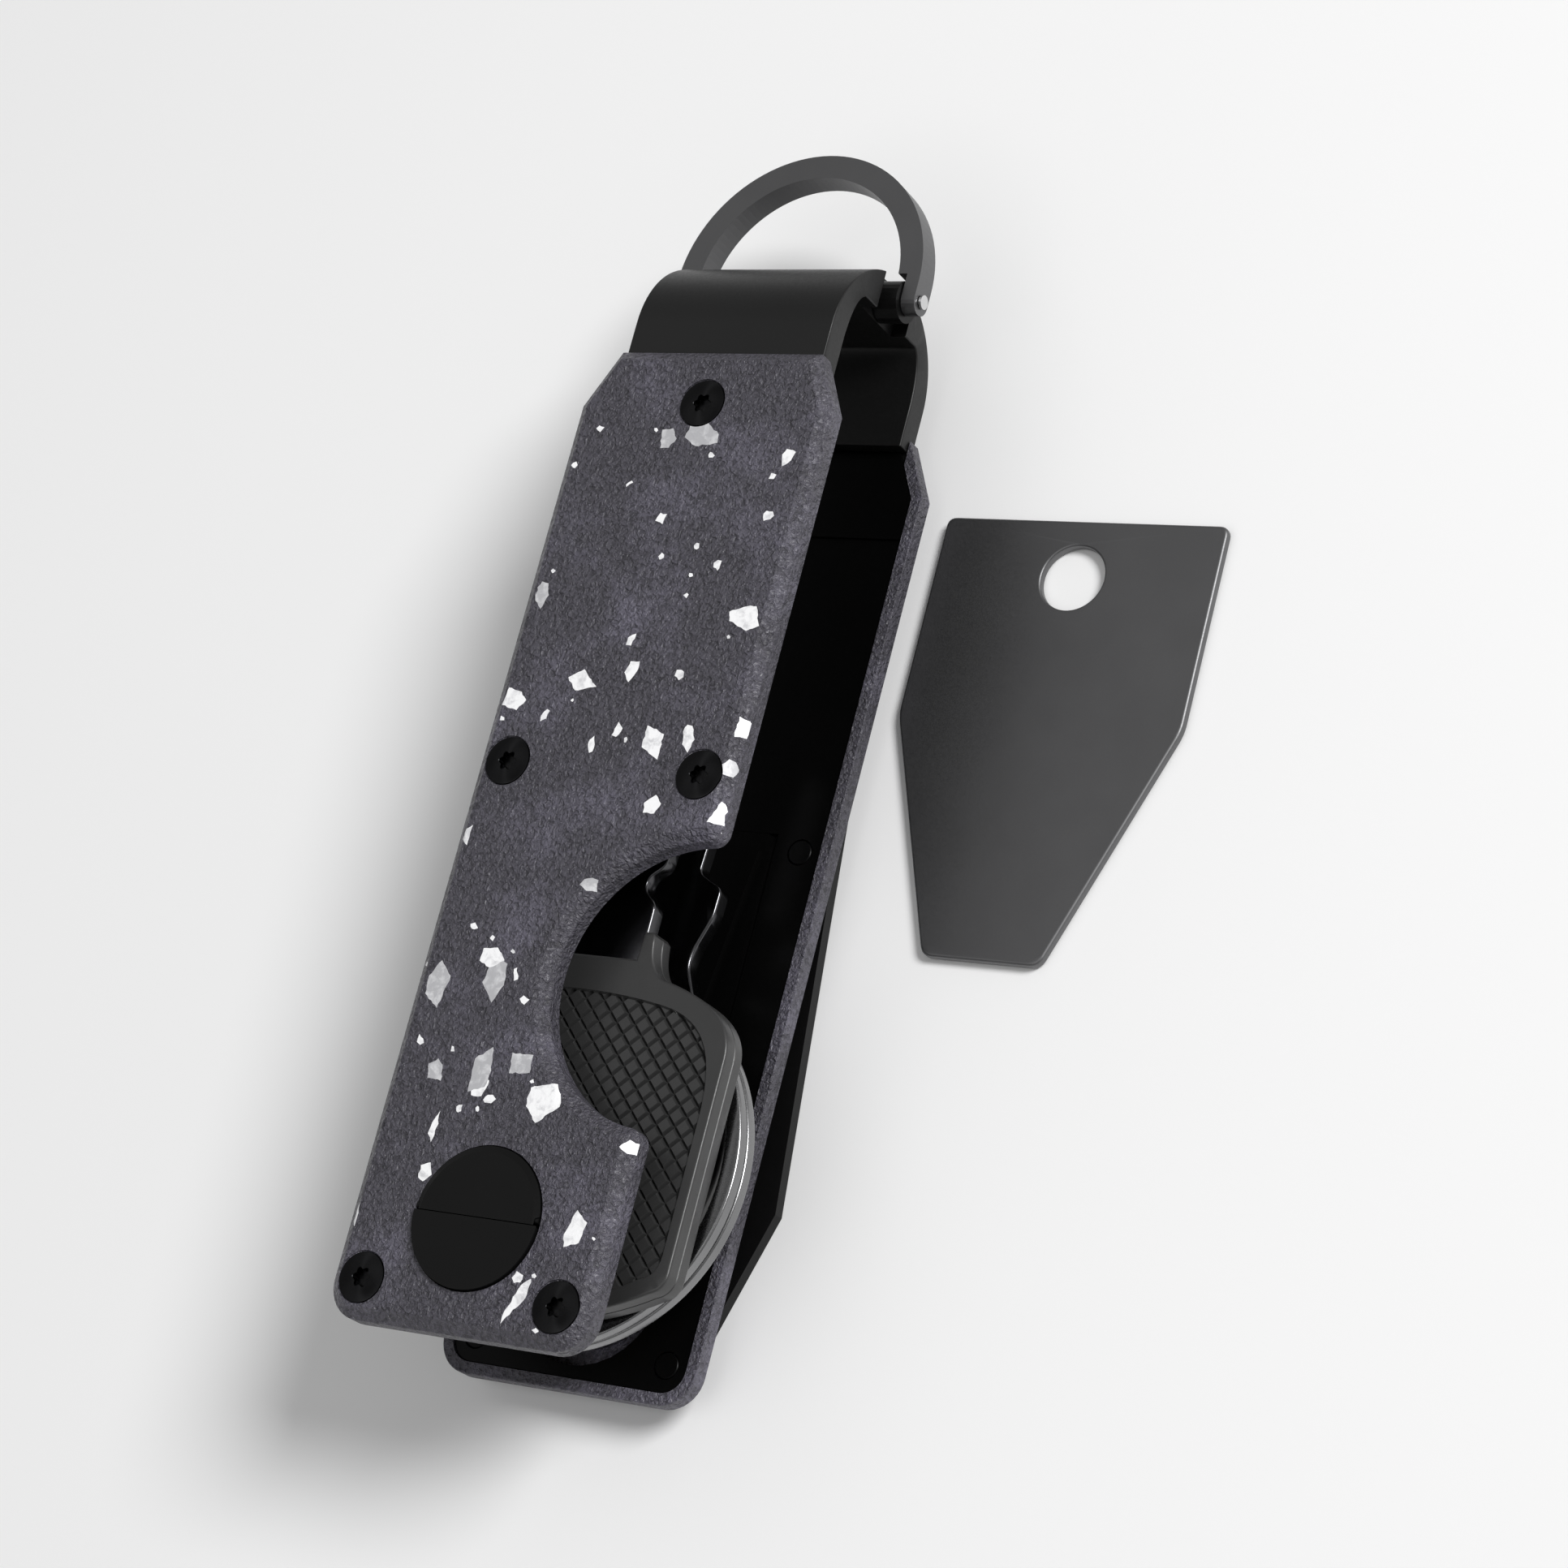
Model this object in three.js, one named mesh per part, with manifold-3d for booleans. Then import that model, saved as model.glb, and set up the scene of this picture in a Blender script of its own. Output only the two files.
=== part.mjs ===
// Key organiser for everyday carry: two bevelled scales around a stack of keys on a tool-less
// thumb-screw post, joined at the top by a flexible moulded strap that carries a swinging shackle,
// with a pocket clip behind and a loose shield-shaped tag.
// Millimetres, +Z up. It lies on its clip: Z = 0 is the clip's outer face, X = Y = 0 is the post's
// axis, and +Y runs up the scales towards the shackle.

import * as THREE from "three";
import { mergeVertices } from "three/addons/utils/BufferGeometryUtils.js";
import Module from "manifold-3d";

const wasm = await Module();
wasm.setup();

// ---- driving dimensions ----

const scaleHalfWidth = 11.0; // each scale, edge to edge, is twice this
const scaleBottom = -8.25; // the scales' lower end, from the post's axis
const scaleTop = 67.25; // the scales' upper end
const scaleThick = 2.1;
const bevelWide = 0.9; // bevel round the outer face, seen from the front
const bevelDeep = 0.76;
const topChamferX = 2.25; // the scales' cut top corners
const topChamferY = 4.55;
const bottomCornerR = 2.7;
const cutoutY = 18.5; // centre of the thumb cut-out in the front scale's right edge
const cutoutR = 10.6; // its radius at the scale's side
const cutoutLipR = 1.1; // rounding where the cut-out meets the edge
const keySpace = 13.2; // clear height between the two scales

const linerThick = 0.6;
const linerPocket = 0.8; // depth of the pocket in each scale that takes its liner
const linerInset = 0.9; // rim left round that pocket
const bossR = 6.3; // full-thickness boss round the thumb screw and under the post's flange
const padHalfWidth = 6.0; // moulded pad on the rear liner
const padLow = 8.0;
const padHigh = 35.0;
const padThick = 0.5;
const padCornerR = 0.8;
const padSink = 0.3; // recess in the rear liner that seats the pad
const tongueTopHalf = 5.1; // tapered spring tongue on the pad
const tongueLowHalf = 2.6;
const tongueLow = 12.0;
const tongueHigh = 33.5;
const tongueThick = 0.35;

const screwPairX = 8.27;
const screwHeadR = 1.85;
const screwHeadDeep = 0.85;
const screwShankR = 0.95;
const driveR = 0.75; // six-lobe drive socket, over its lobes
const driveDeep = 0.5;
const driveWaist = 0.13; // share by which its radius rises and falls between lobes

const strapHalfWidth = 8.64;
const strapSink = 1.1; // how far the strap's face lies below the scale's face
const strapWall = 2.05;
const strapDomeStart = 70.0; // where the strap's outer faces start to curve
const strapTop = 77.4; // apex of the dome
const strapRoof = 73.95; // inner roof
const strapRoofHalf = 4.1; // half-height of the flat part of the roof
const strapTongueLow = 59.8; // lower end of the tongues, clamped between scale and liner
const strapTongueThick = 0.35;
const strapWayLong = 2.2; // opening in each scale's rim that the tongue passes through
const notchDeep = 1.3; // notch in each side of the dome for the shackle's eye and bush
const notchHalf = 2.4;
const notchFloorY = 73.9;

const shackleOuterR = 10.75;
const shackleInnerR = 8.85;
const shackleThick = 2.1;
const shackleArcY = 76.9; // centre of the shackle's half circle
const shacklePinY = 75.6; // the shackle swings on this axis
const shackleStepY = 77.5; // its legs step to thin ears below this
const earThick = 1.15;
const pinR = 0.42;
const pinHeadR = 0.55;
const pinHeadThick = 0.2;
const bushR = 1.6;

const postR = 2.8; // post that the keys swing on
const postFlangeR = 4.6;
const postFlangeThick = 1.0;
const postBoreR = 1.8;
const postBoreDeep = 2.6;
const headR = 5.2; // thumb screw's disc
const headProud = 0.3; // how far the disc stands above the scale
const headSink = 1.0; // counterbore that seats the disc
const headBaseThick = 0.6; // full disc under the fixed half and the flip-up half
const seamY = 0.4; // seam between the two halves
const wingKnuckleHalf = 4.4; // the flip-up half's knuckle, half its length
const lugR = 0.24; // round end of each lug that holds the wing's pin, under the wing's face
const wingPinR = 0.12;
const wingPinInset = 0.4; // each pin end, in from the disc's rim
const wingChamferWide = 0.45; // chamfer round the flip-up half's rim
const wingChamferDeep = 0.19;
const stemR = 1.5;
const stemLong = 2.0; // stem below the front scale's rear face

const bowHalfWidth = 13.7;
const bowTop = 21.1; // the bow's flat top edge, from the post
const bowShoulder = 14.5; // where its sides start to round over
const bowLow = -1.9; // lower end of its straight sides
const bowBottom = -5.6;
const bowThick = 2.4;
const hornHigh = 23.2; // two horns beside the blade
const hornInner = 4.3;
const hornOuter = 5.4;
const ovalBowY = 8.4; // centre of the second key's oval bow
const ovalBowHalfWidth = 11.6;
const ovalBowHalfHeight = 12.0;
const bladeHalfWidth = 4.4;
const bladeThick = 1.4;
const bladeTip = 56.0;
const bladeTipHalf = 1.1;
const bladePoint = 4.2; // length of the tip's taper
const bladeRoot = 8.0; // blade's end inside the bow
const cutPitch = 4.2;
const firstCut = 26.9;
const grooveX = 1.1; // a groove left of centre in front and right of centre behind
const grooveHalf = 0.6;
const grooveLow = 19.0;
const grooveDeep = 0.35;
// The second key's blade, right-hand edge: a waist, a stop, and a slim end.
const slimBladeEdge = [
  [5.0, 8.0], [5.0, 20.4], [4.1, 22.0], [3.6, 23.0], [3.65, 24.2], [4.4, 26.8], [4.35, 29.1],
  [2.1, 30.0], [2.1, 42.0], [0.9, 44.0],
];
const keyASink = 2.2; // from the front scale's rear face to the first key's bow
const keyGap = 3.1; // between the two bows
const keyBTurn = -3.0; // degrees: how far the second key is fanned out at rest
const spacerR = 4.0;

const ringOuterR = 13.9; // split ring looped round the post
const ringBandWide = 1.35;
const ringTurnThick = 1.05;
const ringGap = 0.12; // between its two turns
const ringJointHalf = 3.0; // half length of the step that joins the turns
const ringJointInset = 0.2;
const ringCentreX = 1.2;
const ringCentreY = 6.9;

const clipThick = 1.0;
const clipGap = 0.8; // spring gap between clip and rear scale
const clipPadLow = 48.0; // the clip's raised mounting pad
const clipPadHigh = 60.0;
const clipScrewY = [51.2, 56.8];
const clipOutline = [[7.9, -6.8], [9.9, -0.4], [12.3, 7.2], [10.3, 28.1], [7.2, 61.0]];

const tagCentreX = 23.5;
const tagTop = 62.5;
const tagHalfWidth = 11.75;
const tagStraight = 16.2; // length of the straight sides
const tagLong = 34.8;
const tagTipHalf = 4.8;
const tagThick = 0.8;
const tagCornerR = 0.7;
const tagHoleR = 2.6;
const tagHoleDrop = 4.6; // hole's centre below the top edge

const fit = 0.1; // clearance between pieces that sit in each other

const topScrewY = 62.8; // scale screws: one on the centre line, then two pairs
const pairScrewY = [33.8, -5.3];

// ---- levels worked out from the sizes above ----

const rearFace = clipThick + clipGap; // outer face of the rear scale
const rearRim = rearFace + scaleThick; // inner face of the rear scale
const frontRim = rearRim + keySpace; // rear face of the front scale
const frontFace = frontRim + scaleThick;
const midZ = (rearFace + frontFace) / 2;
const rearLinerTop = rearRim - linerPocket + linerThick;
const frontLinerLow = frontRim + linerPocket - linerThick;
const keyATop = frontRim - keyASink;
const keyALow = keyATop - bowThick;
const keyBTop = keyALow - keyGap;
const keyBLow = keyBTop - bowThick;
const postTop = frontRim - fit;

// ---- materials ----

const paint = (color, roughness, metalness) =>
  new THREE.MeshStandardMaterial({ color, roughness, metalness });

const terrazzo = paint("#46444b", 0.62, 0);
const blackLiner = paint("#141414", 0.55, 0);
const strapRubber = paint("#1c1c1c", 0.5, 0);
const blackSteel = paint("#1e1e1f", 0.35, 0.9);
const gunmetal = paint("#4a4a4b", 0.38, 0.9);
const brightSteel = paint("#c9c9c9", 0.25, 1);
const keySteel = paint("#8d8d8f", 0.3, 1);
const keyBow = paint("#3c3c3c", 0.5, 0);
const bronze = paint("#8c6b3f", 0.4, 0.9);

// ---- geometry helpers ----

function solid(geometry) {
  const bare = geometry.index ? geometry.toNonIndexed() : geometry.clone();
  bare.deleteAttribute("normal");
  bare.deleteAttribute("uv");
  const merged = mergeVertices(bare, 1e-4);
  return new wasm.Manifold(
    new wasm.Mesh({
      numProp: 3,
      vertProperties: merged.attributes.position.array,
      triVerts: new Uint32Array(merged.index.array),
    }),
  );
}

function toGeometry(manifold) {
  const mesh = manifold.getMesh();
  const geometry = new THREE.BufferGeometry();
  geometry.setAttribute("position", new THREE.BufferAttribute(mesh.vertProperties, 3));
  geometry.setIndex(new THREE.BufferAttribute(mesh.triVerts, 1));
  geometry.computeVertexNormals();
  return geometry;
}

// A flat shape raised from low to high along Z.
function slab(shape, low, high, curveSegments = 12) {
  const geometry = new THREE.ExtrudeGeometry(shape, {
    depth: high - low,
    bevelEnabled: false,
    curveSegments,
  });
  return solid(geometry.translate(0, 0, low));
}

function box(x0, x1, y0, y1, z0, z1) {
  const geometry = new THREE.BoxGeometry(x1 - x0, y1 - y0, z1 - z0);
  return solid(geometry.translate((x0 + x1) / 2, (y0 + y1) / 2, (z0 + z1) / 2));
}

// A profile of [radius, height] points, both ends on the axis, turned round Z.
function turned(profile, x = 0, y = 0, segments = 32) {
  const points = profile.map(([r, z]) => new THREE.Vector2(r, z));
  const geometry = new THREE.LatheGeometry(points, segments);
  return solid(geometry.rotateX(Math.PI / 2).translate(x, y, 0));
}

function disc(radius, low, high, x = 0, y = 0, segments = 32) {
  return turned([[0, low], [radius, low], [radius, high], [0, high]], x, y, segments);
}

// A round bar along X at height y, z.
function crossBar(radius, x0, x1, y, z, segments = 20) {
  const geometry = new THREE.CylinderGeometry(radius, radius, x1 - x0, segments);
  geometry.rotateZ(Math.PI / 2);
  return solid(geometry.translate((x0 + x1) / 2, y, z));
}

const polygon = (points) => new THREE.Shape(points.map(([x, y]) => new THREE.Vector2(x, y)));

const pieces = new THREE.Group();

function add(name, manifold, material, parent = pieces) {
  const mesh = new THREE.Mesh(toGeometry(manifold), material);
  mesh.name = name;
  parent.add(mesh);
  return mesh;
}

// ---- outlines ----

// The scale's outline, inset all round, with or without the thumb cut-out.
function scaleShape(inset, cutout) {
  const w = scaleHalfWidth - inset;
  const top = scaleTop - inset;
  const low = scaleBottom + inset;
  const r = bottomCornerR - inset;
  const slope = Math.hypot(topChamferX, topChamferY);
  const along = inset * (slope - topChamferX) / topChamferY;
  const across = inset * (slope - topChamferY) / topChamferX;
  const cornerY = scaleTop - topChamferY - across;
  const cornerX = scaleHalfWidth - topChamferX - along;
  const shape = new THREE.Shape();
  shape.moveTo(-w + r, low);
  shape.lineTo(w - r, low);
  shape.absarc(w - r, low + r, r, -Math.PI / 2, 0, false);
  if (cutout) {
    const bite = cutoutR + inset;
    const lip = cutoutLipR - inset;
    const reach = bite + lip;
    const lipX = w - lip;
    const lipUp = Math.sqrt(reach ** 2 - (scaleHalfWidth - lipX) ** 2);
    const turn = Math.atan2(lipUp, scaleHalfWidth - lipX);
    shape.absarc(lipX, cutoutY - lipUp, lip, 0, turn, false);
    shape.absarc(scaleHalfWidth, cutoutY, bite, Math.PI + turn, Math.PI - turn, true);
    shape.absarc(lipX, cutoutY + lipUp, lip, 2 * Math.PI - turn, 2 * Math.PI, false);
  }
  shape.lineTo(w, cornerY);
  shape.lineTo(cornerX, top);
  shape.lineTo(-cornerX, top);
  shape.lineTo(-w, cornerY);
  shape.absarc(-w + r, low + r, r, Math.PI, Math.PI * 1.5, false);
  return shape;
}

const screwPlaces = [[0, topScrewY]];
for (const y of pairScrewY) {
  screwPlaces.push([-screwPairX, y], [screwPairX, y]);
}

// ---- scales and liners ----

// A scale lying face up with its rear face at Z = 0: a bevelled slab with a liner pocket behind.
function scaleBlank(cutout) {
  const geometry = new THREE.ExtrudeGeometry(scaleShape(0, cutout), {
    depth: scaleThick - bevelDeep,
    bevelThickness: bevelDeep,
    bevelSize: bevelWide,
    bevelOffset: -bevelWide,
    bevelSegments: 1,
    curveSegments: cutout ? 12 : 6,
  });
  const far = scaleTop * 2;
  const front = box(-far, far, -far, far, 0, scaleThick * 2);
  const pocket = slab(scaleShape(linerInset, cutout), -1, linerPocket);
  const boss = disc(bossR, -2, linerPocket + 1);
  const strapWay = box(
    -strapHalfWidth - fit, strapHalfWidth + fit, scaleTop - strapWayLong, scaleTop + 1,
    -1, linerPocket,
  );
  return solid(geometry).intersect(front).subtract(pocket.subtract(boss)).subtract(strapWay);
}

// Countersunk hole for one scale screw, for a scale lying face up from Z = 0.
function screwHole([x, y]) {
  const top = scaleThick;
  const head = screwHeadR + fit;
  const shank = screwShankR + fit;
  return turned(
    [[0, -1], [shank, -1], [shank, top - screwHeadDeep], [head, top - 0.1], [head, top + 1], [0, top + 1]],
    x, y, 16,
  );
}

// A liner with its inner face at Z = 0. Above the strap's tongue it steps up to the scale's rim.
function linerBlank(cutout) {
  const shape = scaleShape(linerInset + fit, cutout);
  const rise = linerPocket - linerThick;
  const stepY = strapTongueLow - fit;
  const wide = scaleHalfWidth * 2;
  const over = linerThick - strapTongueThick - fit; // its face against the tongue
  let liner = slab(shape, 0, linerThick).subtract(disc(bossR + fit, -1, linerThick + 1));
  liner = liner.subtract(box(-wide, wide, stepY, scaleTop, over, linerThick + 1));
  const raised = slab(shape, -rise, over)
    .intersect(box(-wide, wide, stepY - linerThick, scaleTop, -1, 1));
  liner = liner.add(raised);
  screwPlaces.forEach(([x, y]) => {
    liner = liner.subtract(disc(screwShankR + fit, -1, linerThick + 1, x, y, 16));
  });
  return liner;
}

const flip = (manifold, z) => manifold.rotate([0, 180, 0]).translate([0, 0, z]);

function frontScale() {
  let scale = scaleBlank(true);
  screwPlaces.forEach((place) => {
    scale = scale.subtract(screwHole(place));
  });
  const seat = disc(headR + fit, scaleThick - headSink, scaleThick + 1, 0, 0, 64);
  const stemHole = disc(postBoreR, -1, scaleThick + 1);
  return scale.subtract(seat).subtract(stemHole).translate([0, 0, frontRim]);
}

function rearScale() {
  let scale = scaleBlank(false);
  screwPlaces.forEach((place) => {
    scale = scale.subtract(screwHole(place));
  });
  clipScrewY.forEach((y) => {
    scale = scale.subtract(disc(screwShankR + fit, -1, scaleThick + 1, 0, y, 16));
  });
  const seat = disc(postFlangeR + fit, scaleThick - postFlangeThick, scaleThick + 1);
  const postHole = disc(postR + fit, -1, scaleThick + 1);
  return flip(scale.subtract(seat).subtract(postHole), rearRim);
}

add("front_scale", frontScale(), terrazzo);
add("rear_scale", rearScale(), terrazzo);
add("front_liner", linerBlank(true).translate([0, 0, frontLinerLow]), blackLiner);

const padRecess = box(
  -padHalfWidth - fit, padHalfWidth + fit, padLow - fit, padHigh + fit,
  rearLinerTop - padSink, rearLinerTop + 1,
);
const clipScrewHoles = clipScrewY.map((y) => disc(screwShankR + fit, 0, rearRim, 0, y, 16));
let rearLiner = flip(linerBlank(false), rearLinerTop).subtract(padRecess);
clipScrewHoles.forEach((hole) => {
  rearLiner = rearLiner.subtract(hole);
});
add("rear_liner", rearLiner, blackLiner);

function roundedBar(halfWidth, low, high, r) {
  const shape = new THREE.Shape();
  shape.absarc(halfWidth - r, low + r, r, -Math.PI / 2, 0, false);
  shape.absarc(halfWidth - r, high - r, r, 0, Math.PI / 2, false);
  shape.absarc(-halfWidth + r, high - r, r, Math.PI / 2, Math.PI, false);
  shape.absarc(-halfWidth + r, low + r, r, Math.PI, Math.PI * 1.5, false);
  return shape;
}

const padFloor = rearLinerTop - padSink;
const padTop = padFloor + padThick;
const padShape = roundedBar(padHalfWidth, padLow, padHigh, padCornerR);
add("rear_pad", slab(padShape, padFloor, padTop, 4), blackLiner);

const tongueShape = polygon([
  [-tongueLowHalf, tongueLow],
  [tongueLowHalf, tongueLow],
  [tongueTopHalf, tongueHigh],
  [-tongueTopHalf, tongueHigh],
]);
add("pad_tongue", slab(tongueShape, padTop, padTop + tongueThick), blackSteel);

// ---- scale screws ----

// Six-lobe socket, as a shape round the middle.
function lobeShape(r) {
  const shape = new THREE.Shape();
  const steps = 18;
  for (let i = 0; i < steps; i++) {
    const turn = (i / steps) * 2 * Math.PI;
    const reach = r * (1 - driveWaist + driveWaist * Math.cos(6 * turn));
    const point = [reach * Math.cos(turn), reach * Math.sin(turn)];
    if (i) shape.lineTo(...point);
    else shape.moveTo(...point);
  }
  return shape;
}

// A countersunk screw pointing down, its head's face at Z = 0.
function countersunk(length) {
  const rim = 0.1;
  const body = turned([
    [0, -length],
    [screwShankR - 0.2, -length],
    [screwShankR, -length + 0.2],
    [screwShankR, -screwHeadDeep],
    [screwHeadR, -rim],
    [screwHeadR, -0.02],
    [screwHeadR - 0.06, 0],
    [0, 0],
  ], 0, 0, 16);
  return body.subtract(slab(lobeShape(driveR), -driveDeep, 1));
}

const plainLength = scaleThick - linerPocket + linerThick;

screwPlaces.forEach(([x, y], i) => {
  const screw = countersunk(i === 0 ? scaleThick : plainLength);
  add(`front_screw_${i + 1}`, screw.translate([x, y, frontFace]), blackSteel);
  add(`rear_screw_${i + 1}`, flip(screw, 0).translate([x, y, rearFace]), blackSteel);
});

// ---- strap ----

// The strap's side profile, drawn as Y across and Z up, extruded along X.
function strapProfile() {
  const outer = midZ - rearFace - strapSink;
  const inner = outer - strapWall;
  const edge = scaleTop + fit;
  const ledge = scaleTop - linerInset;
  const face = midZ - rearRim + linerPocket - fit / 2;
  const tongue = face - strapTongueThick;
  const shoulderY = strapRoof - 0.6; // control point of the curve into the roof
  const shoulderZ = inner - 0.2;
  const shape = new THREE.Shape();
  shape.moveTo(strapTongueLow, -face);
  shape.lineTo(edge, -face);
  shape.lineTo(edge, -outer);
  shape.lineTo(strapDomeStart, -outer);
  shape.absellipse(strapDomeStart, 0, strapTop - strapDomeStart, outer, -Math.PI / 2, Math.PI / 2, false);
  shape.lineTo(edge, outer);
  shape.lineTo(edge, face);
  shape.lineTo(strapTongueLow, face);
  shape.lineTo(strapTongueLow, tongue);
  shape.lineTo(ledge, tongue);
  shape.lineTo(ledge, inner);
  shape.lineTo(strapDomeStart, inner);
  shape.quadraticCurveTo(shoulderY, shoulderZ, strapRoof, strapRoofHalf);
  shape.lineTo(strapRoof, -strapRoofHalf);
  shape.quadraticCurveTo(shoulderY, -shoulderZ, strapDomeStart, -inner);
  shape.lineTo(ledge, -inner);
  shape.lineTo(ledge, -tongue);
  shape.lineTo(strapTongueLow, -tongue);
  return shape;
}

function strap() {
  const geometry = new THREE.ExtrudeGeometry(strapProfile(), {
    depth: strapHalfWidth * 2,
    bevelEnabled: false,
    curveSegments: 16,
  });
  // Y across and Z up in the profile; the extrusion runs along X.
  geometry.translate(0, 0, -strapHalfWidth);
  geometry.applyMatrix4(new THREE.Matrix4().makeBasis(
    new THREE.Vector3(0, 1, 0),
    new THREE.Vector3(0, 0, 1),
    new THREE.Vector3(1, 0, 0),
  ));
  let body = solid(geometry.translate(0, 0, midZ));
  const notchIn = strapHalfWidth - notchDeep;
  const past = strapHalfWidth + 1;
  for (const side of [-1, 1]) {
    const ends = [side * notchIn, side * past].sort((a, b) => a - b);
    body = body.subtract(box(...ends, notchFloorY, strapTop + 1, midZ - notchHalf, midZ + notchHalf));
  }
  body = body.subtract(crossBar(pinR + fit, -past, past, shacklePinY, midZ));
  const topHole = disc(screwShankR + fit, 0, frontFace, 0, topScrewY, 16);
  return body.subtract(topHole);
}

add("strap_loop", strap(), strapRubber);

// ---- shackle and its pin ----

// Flat half ring in the XY plane; its legs step to thin ears with round ends outside the strap.
function shackle() {
  const half = shackleThick / 2;
  const ring = new THREE.Shape();
  ring.absarc(0, shackleArcY, shackleOuterR, 0, Math.PI, false);
  ring.absarc(0, shackleArcY, shackleInnerR, Math.PI, 0, true);
  let body = slab(ring, midZ - half, midZ + half, 26);
  for (const side of [-1, 1]) {
    const outer = side * shackleOuterR;
    const inner = side * (shackleOuterR - earThick);
    const ends = [inner, outer].sort((a, b) => a - b);
    const ear = box(...ends, shacklePinY, shackleArcY + 0.01, midZ - half, midZ + half);
    const eye = crossBar(half, ...ends, shacklePinY, midZ, 24);
    const stepEnds = [0, inner].sort((a, b) => a - b);
    const step = box(...stepEnds, shacklePinY, shackleStepY, midZ - shackleThick, midZ + shackleThick);
    body = body.subtract(step).add(ear).add(eye);
  }
  const past = shackleOuterR + 1;
  return body.subtract(crossBar(pinR + fit, -past, past, shacklePinY, midZ));
}

add("shackle", shackle(), gunmetal);

const pinHalf = shackleOuterR + fit;
let pin = crossBar(pinR, -pinHalf, pinHalf, shacklePinY, midZ);
for (const side of [-1, 1]) {
  const ends = [side * pinHalf, side * (pinHalf + pinHeadThick)].sort((a, b) => a - b);
  pin = pin.add(crossBar(pinHeadR, ...ends, shacklePinY, midZ));
}
add("shackle_pin", pin, brightSteel);

for (const [name, side] of [["left_bush", -1], ["right_bush", 1]]) {
  const inner = strapHalfWidth - notchDeep + fit;
  const outer = shackleOuterR - earThick - fit;
  const ends = [side * inner, side * outer].sort((a, b) => a - b);
  const sleeve = crossBar(bushR, ...ends, shacklePinY, midZ, 24);
  const bore = crossBar(pinR + fit, ends[0] - 1, ends[1] + 1, shacklePinY, midZ);
  add(name, sleeve.subtract(bore), blackSteel);
}

// ---- post, spacers and thumb screw ----

const post = turned([
  [0, rearFace],
  [postFlangeR, rearFace],
  [postFlangeR, rearFace + postFlangeThick],
  [postR, rearFace + postFlangeThick],
  [postR, postTop],
  [postBoreR, postTop],
  [postBoreR, postTop - postBoreDeep],
  [0, postTop - postBoreDeep],
], 0, 0, 40);
add("post", post, blackSteel);

function sleeve(low, high, outerR, material, name) {
  const body = disc(outerR, low, high, 0, 0, 40);
  add(name, body.subtract(disc(postR + fit, low - 1, high + 1, 0, 0, 40)), material);
}

sleeve(rearRim, keyBLow - fit, spacerR, bronze, "rear_spacer");
sleeve(keyBTop + fit, keyALow - fit, spacerR, bronze, "middle_spacer");
sleeve(keyATop + fit, postTop, spacerR, bronze, "front_spacer");

const seatZ = frontFace - headSink;
const headTop = frontFace + headProud;
const wingLow = seatZ + headBaseThick;
const wingR = (headTop - wingLow) / 2;
const wingZ = wingLow + wingR;
const socketR = Math.hypot(wingR, wingR) + fit / 2; // clears the knuckle's square corner as it turns

// The thumb screw's fixed body: full base disc, half cap, two lugs for the wing's pin, and the stem.
function thumbScrew() {
  const cap = disc(headR, seatZ, headTop, 0, 0, 64);
  const wide = headR * 2;
  const wingSpace = box(-wide, wide, seamY, wide, wingLow - fit / 2, headTop + 1);
  const socket = crossBar(socketR, -wide, wide, seamY, wingZ, 48);
  const webs = box(-wide, wide, seamY - lugR, seamY + lugR, seatZ + fit, wingZ);
  const lugs = crossBar(lugR, -wide, wide, seamY, wingZ, 24)
    .add(webs)
    .subtract(box(-wingKnuckleHalf - fit, wingKnuckleHalf + fit, -wide, wide, 0, headTop + 1))
    .intersect(cap);
  const stem = disc(stemR, frontRim - stemLong, seatZ + fit);
  const reach = headR - wingPinInset + fit;
  const pinHole = crossBar(wingPinR + fit / 4, -reach, reach, seamY, wingZ, 12);
  const base = disc(headR, seatZ, seatZ + fit * 3, 0, 0, 64);
  return cap.subtract(wingSpace).subtract(socket).add(base).add(lugs).add(stem).subtract(pinHole);
}

add("thumb_screw", thumbScrew(), blackSteel);

// The flip-up half: a half disc with a knuckle along the seam, round below and square at the top
// so that its face closes on the fixed half's. Each end is a thin cover over a lug.
function thumbWing() {
  const wide = headR * 2;
  const low = wingLow + fit / 2;
  const full = disc(headR, low, headTop, 0, 0, 64);
  const behind = box(-wide, wide, -wide, seamY, low - 1, headTop + 1);
  const corner = box(-wide, wide, seamY - wingR, seamY + fit, wingZ, headTop).intersect(full);
  const hollowR = lugR + fit / 2;
  const hollow = crossBar(hollowR, -wide, wide, seamY, wingZ, 24)
    .add(box(-wide, wide, seamY - hollowR, seamY + hollowR, low - 1, wingZ))
    .add(box(-wide, wide, -wide, seamY, low - 1, wingZ + hollowR))
    .subtract(box(-wingKnuckleHalf, wingKnuckleHalf, -wide, wide, 0, headTop + 1));
  const chamferSlope = wingChamferDeep / wingChamferWide;
  const chamferIn = headR - wingChamferWide;
  const chamferOut = headR + 1;
  const rim = turned([
    [chamferIn, headTop],
    [chamferOut, headTop - (chamferOut - chamferIn) * chamferSlope],
    [chamferOut, headTop + 1],
    [chamferIn, headTop + 1],
    [chamferIn, headTop],
  ], 0, 0, 64);
  const knuckle = crossBar(wingR - fit / 4, -wingKnuckleHalf, wingKnuckleHalf, seamY, wingZ);
  const pinHole = crossBar(wingPinR + fit / 4, -wide, wide, seamY, wingZ, 12);
  return full.subtract(behind).add(corner).subtract(hollow).subtract(rim).add(knuckle).subtract(pinHole);
}

add("thumb_wing", thumbWing(), blackSteel);
const wingPinHalf = headR - wingPinInset;
add("wing_pin", crossBar(wingPinR, -wingPinHalf, wingPinHalf, seamY, wingZ, 12), brightSteel);

// ---- keys ----

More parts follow.
